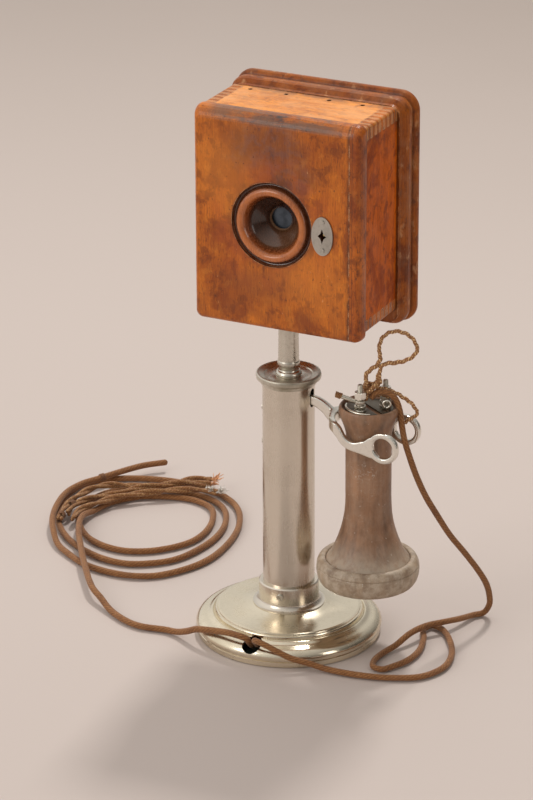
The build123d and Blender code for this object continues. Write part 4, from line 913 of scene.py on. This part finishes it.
# ------------------------------------------------------------------ receiver
# (radius, z): lower rim, flared bell, straight handle, swollen top, hollow inside
body_outline = profile([
    ("L", [(15.4, 64.2), (31.3, 64.2), (31.3, 71.6), (30.6, 72.7)]),
    ("S", [(28.8, 75.0), (27.2, 77.4), (24.2, 84.2), (21.5, 91.5), (19.3, 99.5), (17.7, 109.0),
           (17.05, 119.0), (17.0, 130.0)]),
    ("L", [(17.0, 142.0), (17.0, 154.0), (17.0, 167.0)]),
    ("S", [(17.15, 172.5), (18.5, 178.2), (20.8, 184.8), (22.2, 190.2), (22.0, 192.7),
           (21.1, 194.0), (20.3, 194.0), (19.4, 192.4)]),
    ("L", [(19.2, 190.6), (10.0, 190.55), (0, 190.55), (0, 184.0), (8.2, 184.0), (8.2, 84.0),
           (15.4, 82.0), (15.4, 64.2)]),
])
# (radius, z): rounded shoulder, small bead, skirt, dished face with a hole in the middle
cap_outline = profile([
    ("L", [(31.5, 63.65), (31.5, 72.0), (31.9, 72.75)]),
    ("S", [(32.8, 73.15), (34.2, 73.25), (35.5, 72.7), (36.6, 71.5), (37.5, 69.7),
           (38.0, 68.2)]),
    ("L", [(37.55, 67.75), (37.6, 67.3), (38.15, 66.9)]),
    ("S", [(38.3, 64.6), (38.1, 61.8), (37.7, 59.4), (37.0, 56.9), (36.0, 55.0), (34.9, 53.6),
           (33.4, 52.6), (32.0, 52.1), (30.4, 52.0)]),
    ("S", [(27.2, 52.4), (24.0, 53.2), (19.5, 54.7), (15.0, 56.4), (11.6, 57.9), (8.6, 59.2),
           (7.5, 59.9), (7.0, 60.6)]),
    ("L", [(7.0, 61.7), (29.0, 61.7), (29.0, 63.65), (31.5, 63.65)]),
])


def worn_body(r, h, angle):
    """Slight unevenness of old moulded rubber."""
    dent = (0.045 * math.sin(3 * angle + h * 0.11) + 0.03 * math.sin(7 * angle - h * 0.23)
            + 0.025 * math.sin(h * 0.9 + 2 * angle))
    return r + dent * min(1.0, r / 15.0)


def worn_cap(r, h, angle):
    """Unevenness, with nicks round the widest part."""
    dent = (0.06 * math.sin(2 * angle + 0.5) + 0.05 * math.sin(5 * angle + h * 0.3)
            + 0.03 * math.sin(11 * angle - h))
    if h > 60 and 38.4 > r > 37.2:
        dent -= 0.16 * max(0.0, math.sin(9 * angle + 1.3) * math.sin(4 * angle)) ** 3
    return r + dent * min(1.0, r / 30.0)


receiver = lathe("receiver_body", body_outline, (RECEIVER_X, 0, 0), segments=176, corner=0.3,
                 sharp=40, shape=worn_body)
place(receiver, "rubber_body", "receiver", "hard_rubber", "receiver_shell")
ear_cap = lathe("receiver_ear_cap", cap_outline, (RECEIVER_X, 0, 0), segments=192, corner=0.25,
                sharp=40, shape=worn_cap)
place(ear_cap, "rubber_cap", "receiver", "hard_rubber", "ear_cap")


# ------------------------------------------------------------------ softened CAD edges
def bevel(node, width, segments=2, angle=28):
    modifier = NODES[node].modifiers.new("soft_edges", "BEVEL")
    modifier.width = width
    modifier.segments = segments
    modifier.limit_method = "ANGLE"
    modifier.angle_limit = math.radians(angle)
    modifier.use_clamp_overlap = True


for node in ("box_top", "box_bottom", "box_side_left", "box_side_right"):
    bevel(node, width=0.0004)
bevel("door_panel", width=0.0007, segments=3, angle=30)
bevel("door_cleat", width=0.0006, segments=3, angle=30)
bevel("back_board", width=0.0005, angle=34)
bevel("escutcheon", width=0.0003)
bevel("escutcheon_screws", width=0.0002)
bevel("terminal_plate", width=0.0003)


# ------------------------------------------------------------------ cords
def resting(points):
    """Adds the resting height to points given only as (x, y)."""
    return [p if len(p) == 3 else (*p, CORD_REST_Z) for p in points]


# (x, y, z) down from the receiver top to the floor
receiver_drop = [
    (67.7, -2.1, 200.5), (71.0, -0.5, 204.5), (76.2, 2.1, 205.2), (80.8, 4.3, 203.2),
    (84.7, 5.6, 198.1), (87.6, 5.4, 190.2), (90.0, 3.6, 181.0), (92.0, 3.4, 171.0),
    (94.9, 6, 157.3), (98.1, 12, 139.6), (102, 20, 121.2), (107.1, 31, 101.6),
    (113.1, 42, 82.1), (120.4, 54, 63.8), (126.2, 66, 46), (129.6, 74, 32.5),
    (130.2, 79.6, 20.4), (129.2, 82.2, 11.0)]
# (x, y[, z]) looping over the floor, then up and over the front edge of the base
receiver_run = resting([
    (124.5, 82.6, 3.2), (119.0, 76.0), (114.5, 60.0, 5.6), (108.0, 44.0, 8.4),
    (99.5, 32.5, 8.6), (93.6, 15.5, 8.4), (88.4, 0.0, 4.0), (84.4, -13.0), (83.6, -27.3),
    (87.7, -37.8), (95.0, -38.8), (100.3, -30.7), (105.2, -19.6), (107.2, -6.8), (106.2, 6.0),
    (100.9, 23.7), (95.0, 37.0), (98.5, 45.4), (107.9, 42.4), (121.6, 25.9), (132.0, 4.2),
    (134.4, -17.6), (125.6, -37.6), (107.0, -48.6), (87.9, -54.2), (68.5, -56.6, 2.9),
    (56.0, -57.6, 3.7), (45.7, -60.4, 6.6), (34.0, -66.0, 10.6), (24.0, -68.8, 15.2),
    (15.0, -69.4, 18.6), (8.6, -69.0, 20.0), (4.2, -66.4, 19.2), (2.2, -62.0, 15.9),
    (1.9, -55.8, 10.6), (2.0, -47.0, 7.2), (2.2, -38.0, 6.4)])
receiver_cord = tube("receiver_cord", receiver_drop + receiver_run, 2.30, step=0.8,
                     braid=0.08, pitch=BRAID_PITCH, wobble=0.03, seed=3)
give(receiver_cord, "cord")
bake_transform(receiver_cord)
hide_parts("receiver_cord_drop", "receiver_cord_table")

# (x, y[, z]) from the base out to the coil at its -X, +Y side
line_lead = resting([
    (-3.4, -38.0, 6.4), (-3.4, -46.0, 6.8), (-3.4, -55.0, 8.8), (-3.4, -60.2, 13.2),
    (-4.4, -62.6, 17.0), (-8.5, -63.6, 18.6), (-14.0, -63.0, 18.8), (-20.0, -62.0, 18.6),
    (-29.6, -60.0, 17.0), (-40.0, -58.0, 15.0), (-50.4, -55.6, 12.4), (-60.0, -53.0, 7.6),
    (-70.0, -50.0, 3.8), (-80.0, -48.6), (-100.1, -51.2), (-115.2, -47.2),
    (-133.9, -36.6, 3.4), (-147.0, -27.0, 6.6), (-159.2, -17.4, 8.4), (-181.3, 11.5, 8.8),
    (-202.2, 42.5, 8.9), (-222.4, 75.4, 9.0), (-232.6, 100.6, 7.6)])
inner_turn = resting([
    (-233.0, 121.6, 4.0), (-229.6, 143.3), (-215.2, 162.9), (-198.6, 171.6), (-181.5, 176.6),
    (-167.2, 176.0), (-151.3, 168.0), (-140.6, 150.1), (-134.5, 126.5), (-135.3, 105.5),
    (-143.0, 88.6), (-157.1, 73.2), (-174.3, 65.0), (-191.4, 65.2), (-209.7, 72.3),
    (-224.4, 84.7)])
middle_turn = resting([
    (-236.7, 101.4), (-244.7, 120.5), (-246.3, 143.8), (-240.8, 161.7), (-228.0, 175.3),
    (-206.9, 184.1), (-182.0, 187.5), (-159.1, 183.9), (-142.0, 171.8), (-129.8, 152.2),
    (-122.4, 123.3), (-124.2, 91.4), (-132.6, 66.4), (-146.6, 52.2), (-162.3, 44.1),
    (-181.1, 43.9), (-204.3, 51.6), (-226.3, 65.7)])
outer_turn = resting([
    (-246.2, 86.4), (-261.8, 114.2), (-269.4, 141.4), (-267.5, 165.0), (-255.6, 182.6),
    (-235.1, 195.5), (-211.8, 202.5), (-184.9, 204.0), (-158.1, 197.0), (-134.9, 180.4),
    (-117.8, 152.5), (-108.6, 117.1), (-108.4, 77.3), (-118.9, 50.2), (-132.7, 33.2),
    (-148.8, 25.4, 3.0), (-168.3, 24.2), (-190.2, 28.2), (-211.5, 39.9)])
line_tail = [
    (-228.0, 51.5, 3.6), (-240.0, 66.0, 6.6), (-251.0, 84.0, 8.3), (-261.0, 110.0, 8.5),
    (-266.0, 136.0, 8.5), (-263.0, 156.0, 8.5), (-255.8, 171.0, 8.5), (-247.0, 190.0, 8.4),
    (-235.8, 211.0, 8.2), (-221.3, 226.5, 8.0)]
line_cord = tube("line_cord_braided",
                 line_lead + inner_turn + middle_turn + outer_turn + line_tail, 2.46, step=0.8,
                 braid=0.08, pitch=BRAID_PITCH, wobble=0.035, seed=5, taper="end")
place(line_cord, "cord", "root", "braid", "line_cord")

# ------------------------------------------------------------------ tinsel wires on the receiver
TINSEL = dict(step=0.5, sides=12, carriers=2, wobble=0.10, taper="both")

loop_a = [
    (66, -2, 204.9), (64, -3, 213.6), (64.3, -2.8, 219), (66.6, -1.7, 222.2),
    (70.4, 0.2, 225.3), (73, 1.5, 229.6), (72.6, 1.3, 236.2), (72.9, 1.4, 243.2),
    (75.5, 2.7, 248.6), (80, 4.9, 251.7), (85.2, 7.5, 252.1), (91.1, 10.4, 249.4),
    (95.7, 12.6, 243.9), (97, 13.3, 237.7), (95.5, 12.5, 233.8), (91.3, 10.5, 230.3),
    (86.1, 7.9, 228.3), (80.9, 5.3, 227.6), (76, 2.9, 226.8), (73.4, 1.7, 223.7),
    (72.8, 1.4, 218.2), (73.2, 1.6, 211.2)]
loop_b = [
    (75, 4.5, 207.3), (79.6, 6.8, 204.9), (84.2, 9, 202.5), (88.2, 11, 199.3),
    (92.1, 12.9, 196.2), (95.5, 14.6, 191.4), (96.8, 15.2, 187.5), (94.9, 14.3, 184.3),
    (91.6, 12.7, 182.7), (89, 11.4, 178.8)]
short_end = [(71.8, 0.9, 212), (71.2, 0.6, 217.5), (73.7, 1.8, 222.1)]
for name, points, radius, relief, pitch, seed in (
        ("tinsel_loop_a", around(loop_a, 0.34, 6.5, 0.0), 1.45, 0.16, 2.6, 1),
        ("tinsel_loop_b", around(loop_b, 0.34, 6.0, 1.0), 1.32, 0.16, 2.6, 2),
        ("tinsel_end", short_end, 0.9, 0.12, 3.0, 4)):
    wire = tube(name, points, radius, braid=relief, pitch=pitch, seed=seed, **TINSEL)
    place(wire, "tinsel", "receiver", "braid")

# path and wire radius of each knot
KNOTS = (
    ([(73.2, 1.6, 211.2), (70.0, -2.4, 208.6), (66.4, -4.6, 206.0), (63.8, -1.6, 205.4),
      (65.6, 2.2, 208.6), (69.4, 3.0, 211.4), (72.2, -0.6, 213.0), (70.2, -3.6, 210.6),
      (67.4, -3.2, 206.6), (69.0, 0.6, 203.2), (73.0, 3.0, 201.0)], 1.30),
    ([(66.0, -2.0, 204.9), (62.4, -2.2, 207.6), (62.8, 1.2, 210.4), (66.8, 2.4, 209.0),
      (67.4, -1.4, 205.6), (64.8, -4.0, 202.8), (66.6, -6.2, 200.0)], 1.30),
    ([(75.0, 4.5, 207.3), (72.0, 1.6, 207.6), (70.2, 2.6, 204.0), (73.4, 5.2, 201.6),
      (78.2, 7.0, 199.8), (78.8, 11.0, 199.0), (75.0, 13.0, 198.8), (71.0, 11.6, 198.8),
      (70.4, 7.6, 199.0)], 1.15),
)
knots = [tube("knot", around(path, 0.3, 4.2, i + 0.4), radius, braid=0.14, pitch=2.6,
              seed=21 + i, **TINSEL)
         for i, (path, radius) in enumerate(KNOTS)]
place(merge("tinsel_knots", knots), "tinsel", "receiver", "braid")

# ------------------------------------------------------------------ binding posts and nuts
POSTS = ((62.0, -8.5), (74.5, 8.5))
NUT_HALF_WIDTH = 3.95


def knurl(r, h, angle):
    """Fine teeth round the two wide rings of a post."""
    if 193.4 < h < 196.4 and r > 3.6:
        return r + 0.16 * math.cos(34 * angle)
    if 197.6 < h < 200.0 and r > 3.4:
        return r + 0.12 * math.cos(30 * angle)
    return r


def hexagon(r, h, angle):
    if r < 2.4:
        return r
    from_flat = (angle % (math.pi / 3)) - math.pi / 6
    return min(r, NUT_HALF_WIDTH / math.cos(from_flat))


# (radius, z): washer, knurled ring, waist, second ring and plain stud, then seven threads
post_outline = [
    (0, 190.9), (1.95, 190.9), (1.95, 192.05), (4.3, 192.1), (4.35, 192.9), (3.9, 193.3),
    (4.05, 193.6), (4.05, 196.1), (3.8, 196.4), (2.7, 196.6), (2.7, 197.2), (3.5, 197.4),
    (3.75, 197.8), (3.75, 199.8), (3.3, 200.3), (2.6, 200.8), (1.95, 201.2), (1.95, 206.8)]
for i in range(7):
    crest = 207.0 + i * 0.72
    post_outline += [(2.08, crest), (1.78, crest + 0.36)]
post_outline += [(1.85, 212.1), (1.3, 212.55), (0, 212.62)]
nut_outline = [(2.0, 201.34), (4.0, 201.34), (4.62, 201.9), (4.62, 206.3), (4.0, 206.95),
               (2.6, 207.05), (2.0, 206.9)]
posts = merge("binding_post_pair", [
    lathe("post", post_outline, (x, y, 0), segments=136, corner=0.12, sharp=42, shape=knurl)
    for x, y in POSTS])
place(posts, "nickel_small", "receiver", "nickel")
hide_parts("binding_posts")
nuts = merge("hexagon_nut_pair", [
    lathe("nut", nut_outline, (x, y, 0), segments=96, corner=0.15, sharp=30, shape=hexagon)
    for x, y in POSTS])
place(nuts, "nickel_hook", "receiver", "nickel")
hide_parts("binding_nuts")

# ------------------------------------------------------------------ cord tip pin
# the pin sticks out of the -X post, its far end wound with brown thread
pin_start, pin_end = Vector((60.0, -9.6, 198.9)), Vector((46.8, -16.0, 204.6))
pin_points = [pin_start, pin_start.lerp(pin_end, 0.33), pin_start.lerp(pin_end, 0.66), pin_end]
pin = tube("cord_tip_pin", pin_points, 1.7, step=0.4, sides=20, taper="both")
place(pin, "bright", "receiver", "nickel")
pin_along = (pin_end - pin_start).normalized()
pin_side = pin_along.cross(UP).normalized()
pin_up = pin_side.cross(pin_along)
wrap_points = [pin_end + pin_along * (-3.4 + i * 0.13)
               + (pin_side * math.cos(i * 0.62) + pin_up * math.sin(i * 0.62)) * 1.75
               for i in range(34)]
pin_wrap = tube("cord_tip_wrap", wrap_points, 0.72, step=0.35, sides=10, wobble=0.15, seed=9,
                taper="both")
place(pin_wrap, "strand", "receiver", "braid")

# ------------------------------------------------------------------ terminal rim and screw eye
# bright edge round the front of the terminal plate, thickest in the middle
RIM_RADIUS, RIM_Z = 16.9, 193.0
rim_points = [(RECEIVER_X + RIM_RADIUS * math.cos(math.radians(degrees)),
               RIM_RADIUS * math.sin(math.radians(degrees)), RIM_Z)
              for degrees in range(-172, -57, 5)]
rim = tube("terminal_rim", rim_points, 1.15, step=0.5, sides=18,
           swell=lambda run, total: 0.55 + 0.45 * math.sin(math.pi * run / total))
place(rim, "bright", "receiver", "nickel")

# the eye that takes the pull of the cord: a stalk, then a ring
EYE_CENTRE, EYE_ACROSS, EYE_RADIUS = Vector((79.6, -0.6, 197.2)), Vector((0.90, 0.44, 0)), 2.7
eye_angles = [math.radians(-80 + 14.5 * i) for i in range(24)]
eye_ring = [EYE_CENTRE + (EYE_ACROSS * math.cos(a) + UP * math.sin(a)) * EYE_RADIUS
            for a in eye_angles]
eye_stalk = [Vector((79.0, 0.4, 187.5)), Vector((79.0, 0.4, 190.5)), Vector((79.3, 0.0, 193.2))]
eye = tube("screw_eye", eye_stalk + eye_ring, 0.9, step=0.35, sides=14, taper="end")
place(eye, "bright", "receiver", "nickel")
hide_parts("cord_eye")


# ------------------------------------------------------------------ switch hook
def cast(name, node, voxel, iterations):
    """Copy of a plain CAD piece, rounded as if cast and plated."""
    source = NODES[node]
    piece = link_object(name, source.data.copy())
    piece.matrix_world = source.matrix_world.copy()
    remesh = piece.modifiers.new("remesh", "REMESH")
    remesh.mode = "VOXEL"
    remesh.voxel_size = voxel
    smooth = piece.modifiers.new("smooth", "SMOOTH")
    smooth.factor = 0.5
    smooth.iterations = iterations
    bpy.context.view_layer.update()
    graph = bpy.context.evaluated_depsgraph_get()
    mesh = bpy.data.meshes.new_from_object(piece.evaluated_get(graph))
    piece.modifiers.clear()
    piece.data = mesh
    for polygon in mesh.polygons:
        polygon.use_smooth = True
    return piece


hook = cast("switch_hook_cast", "hook_lever", voxel=0.0005, iterations=26)
place(hook, "nickel_hook", "hook", "nickel")
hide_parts("hook_lever")

# ------------------------------------------------------------------ conductors on the coil
# three twisted pairs, each wound round one of these paths
PAIRS = (
    [(-246.0, 86.0, 7.6), (-250.9, 102.3, 9.0), (-252.1, 117.4, 10.2), (-251.1, 130.1, 10.8),
     (-248.0, 145.0, 11.2), (-241.0, 157.0, 10.8), (-231.0, 165.2, 9.4), (-216.1, 170.0, 9.0),
     (-203.3, 176.1, 9.4), (-193.3, 186.0, 10.0), (-185.3, 196.9, 10.4), (-175.4, 203.6, 10.6),
     (-169.1, 205.4, 10.2)],
    [(-244.9, 97.8, 8.0), (-246.8, 113.7, 9.4), (-241.6, 129.1, 9.8), (-233.0, 141.4, 9.2),
     (-225.0, 152.0, 8.8), (-219.0, 163.0, 9.4), (-209.0, 171.0, 10.4), (-197.0, 181.0, 10.4),
     (-187.9, 190.3, 9.8), (-177.6, 195.0, 9.4), (-165.5, 196.8, 10.0)],
    [(-236.1, 90.0, 8.2), (-238.4, 106.7, 9.0), (-233.2, 124.0, 8.8), (-224.9, 143.5, 8.4),
     (-212.5, 157.0, 8.6), (-201.7, 166.0, 8.8), (-189.4, 175.0, 9.0), (-175.9, 181.8, 9.2),
     (-163.0, 185.0, 9.6), (-153.6, 184.6, 9.6)],
)
strands = [tube("strand", around(path, 1.35, 46.0 + 7 * i, math.pi * j + i), 1.62, step=0.7,
                sides=16, braid=0.05, pitch=2.6, carriers=3, wobble=0.07,
                seed=30 + 2 * i + j, taper="both")
           for i, path in enumerate(PAIRS) for j in range(2)]
place(merge("inner_conductors", strands), "strand", "root", "braid")


def tuft(tip, direction, count, length, spread, seed, thick):
    """Loose fine wires fanning out of a tip."""
    rnd = random.Random(seed)
    ahead = Vector(direction).normalized()
    wires = []
    for i in range(count):
        drift = Vector((rnd.uniform(-1, 1), rnd.uniform(-1, 1), rnd.uniform(-0.25, 1.0))) * spread
        reach = length * rnd.uniform(0.6, 1.1)
        root = Vector(tip) - ahead * 1.5 + Vector(
            (rnd.uniform(-0.9, 0.9), rnd.uniform(-0.9, 0.9), rnd.uniform(-0.7, 0.9)))
        points = [root,
                  root + ahead * reach * 0.45 + drift * 0.25,
                  root + ahead * reach * 0.8 + drift * 0.8,
                  root + ahead * reach + drift * 1.35 + Vector((0, 0, rnd.uniform(-0.5, 0.8)))]
        wires.append(tube("wire", points, thick * rnd.uniform(0.8, 1.3), step=0.6, sides=6,
                          seed=i, wobble=0.1))
    return wires


# tip, direction, count, length, spread, seed, wire radius
copper = (tuft((-168.5, 205.2, 10.2), (0.75, 0.35, 0.12), 26, 6.5, 3.2, 41, 0.26)
          + tuft((-165.0, 196.8, 10.0), (0.85, 0.1, 0.1), 18, 6.0, 2.6, 42, 0.24))
place(merge("copper_fray", copper), "copper", "root", "brass")
tinned = (tuft((-163.5, 184.8, 9.6), (0.8, 0.25, 0.2), 24, 6.5, 3.0, 43, 0.24)
          + tuft((-154.0, 185.2, 9.8), (0.9, 0.15, 0.2), 26, 7.5, 3.4, 44, 0.24))
place(merge("tinned_fray", tinned), "tin", "root", "steel")

# soldered sleeves at the tips: path, radius, seed
SLEEVES = (
    ([(-166.5, 187.8, 10.2), (-163.0, 187.8, 10.3), (-159.0, 187.2, 10.2)], 1.5, 51),
    ([(-156.6, 186.6, 9.9), (-153.2, 186.8, 10.0), (-149.6, 187.0, 9.9)], 1.35, 52),
)
sleeves = [tube("sleeve", path, radius, step=0.5, sides=16, wobble=0.08, seed=seed,
                taper="both") for path, radius, seed in SLEEVES]
place(merge("tip_sleeves", sleeves), "tin", "root", "steel")


def whipping(centre, direction, radius, turns, thread, seed):
    """Thread of the given radius wound side by side round a cord."""
    middle, along = Vector(centre), Vector(direction).normalized()
    side = along.cross(UP).normalized()
    other = side.cross(along)
    count = int(turns * 12)
    points = [middle + along * ((i / count - 0.5) * turns * thread * 2.0)
              + (side * math.cos(i * math.pi / 6) + other * math.sin(i * math.pi / 6)) * radius
              for i in range(count + 1)]
    return tube("whipping", points, thread, step=0.4, sides=8, wobble=0.1, seed=seed,
                taper="both")


# centre, direction, winding radius, turns, thread radius, seed
whippings = [whipping((-254.4, 174.0, 8.5), (0.42, 0.90, 0), 2.85, 5, 0.42, 61),
             whipping((-248.6, 113.0, 9.8), (0.0, 1, 0.05), 3.0, 5, 0.45, 62),
             whipping((-247.5, 93.0, 8.6), (-0.2, 1, 0.1), 2.8, 4, 0.45, 63)]
place(merge("whippings", whippings), "thread", "root", "braid")


# ------------------------------------------------------------------ stage
def paper(name):
    """Pale paper, darker towards the back: painted falloff of light."""
    mat = Shader(name)
    y = mat.xyz()[1]
    mat.colour = mat.mix(y.span(0.2, 2.2), srgb(203, 190, 183), srgb(164, 151, 142))
    clouds = mat.noise(2.2, detail=3, rough=0.5).span(0.3, 0.7, 0, 0.10)
    mat.paint(srgb(196, 182, 176), clouds)
    return mat.finish(0.62, mat.noise(900, detail=3, rough=0.5),
                      strength=0.04, distance=0.0003, spec=0.25)


FLOOR_CELLS = 24
FLOOR_X, FLOOR_Y, FLOOR_Z = -5, -5, -0.0002   # corner, in metres
FLOOR_WIDTH, FLOOR_DEPTH = 10, 11
row = FLOOR_CELLS + 1
floor_verts = [(FLOOR_X + FLOOR_WIDTH * i / FLOOR_CELLS, FLOOR_Y + FLOOR_DEPTH * j / FLOOR_CELLS,
                FLOOR_Z) for j in range(row) for i in range(row)]
floor_faces = [(j * row + i, j * row + i + 1, (j + 1) * row + i + 1, (j + 1) * row + i)
               for j in range(FLOOR_CELLS) for i in range(FLOOR_CELLS)]
floor = new_object("paper_floor", floor_verts, floor_faces)
floor.data.materials.append(paper("pale_paper"))

# ------------------------------------------------------------------ light
# world: a soft gradient, brightest high on the -X side
BRIGHT_SIDE = (-0.80, -0.10, 0.59)
world = bpy.data.worlds.new("studio")
bpy.context.scene.world = world
world.use_nodes = True
tree = world.node_tree
for node in list(tree.nodes):
    tree.nodes.remove(node)
output, background, coords, facing, gradient, spread = (
    tree.nodes.new("ShaderNode" + kind) for kind in
    ("OutputWorld", "Background", "TexCoord", "VectorMath", "ValToRGB", "MapRange"))
facing.operation = "DOT_PRODUCT"
facing.inputs[1].default_value = BRIGHT_SIDE
spread.inputs["From Min"].default_value = -0.6
spread.inputs["From Max"].default_value = 1.0
dark_end, bright_end = gradient.color_ramp.elements
dark_end.position = 0.0
dark_end.color = (0.07, 0.062, 0.052, 1)
bright_end.position = 1.0
bright_end.color = (1.08, 1.05, 1.01, 1)
background.inputs["Strength"].default_value = 0.92
for source, target in (
        (coords.outputs["Generated"], facing.inputs[0]),
        (facing.outputs["Value"], spread.inputs[0]),
        (spread.outputs[0], gradient.inputs[0]),
        (gradient.outputs[0], background.inputs[0]),
        (background.outputs[0], output.inputs[0])):
    tree.links.new(source, target)


def area(name, location, target, size, power, color):
    light = bpy.data.lights.new(name, "AREA")
    light.shape = "RECTANGLE"
    light.size, light.size_y = size
    light.energy = power
    light.color = color
    lamp = link_object(name, light)
    lamp.location = location
    direction = Vector(target) - lamp.location
    lamp.rotation_euler = direction.to_track_quat("-Z", "Y").to_euler()


# key from behind and above, slightly from -X
key_direction = Vector((-0.10, 0.60, 1.0)).normalized()
area("key", Vector((0, 0, 0.2)) + key_direction * 3.0, target=(0, 0, 0.2), size=(0.34, 0.34),
     power=42.0, color=(1.0, 0.975, 0.94))
# front fill from the left of the camera
area("fill", (-1.35, -2.3, 1.5), target=(0, 0, 0.25), size=(1.3, 1.3),
     power=15.0, color=(1.0, 0.965, 0.93))
# weak light from +X
area("side", (2.2, -0.5, 0.9), target=(0.05, 0, 0.2), size=(0.6, 1.2),
     power=5.0, color=(1.0, 0.95, 0.90))

# ------------------------------------------------------------------ camera
lens_data = bpy.data.cameras.new("camera")
camera = link_object("camera", lens_data)
# columns: right, up, backward, position
camera.matrix_world = Matrix((
    (0.897719, -0.16392, 0.408938, 1.13511),
    (0.440555, 0.341051, -0.830419, -2.34204),
    (-0.003347, 0.925643, 0.378384, 1.25014),
    (0, 0, 0, 1)))
lens_data.lens = 171.46
lens_data.sensor_width = 36.0
lens_data.clip_end = 50
bpy.context.scene.camera = camera
bpy.context.scene.view_settings.view_transform = "Standard"
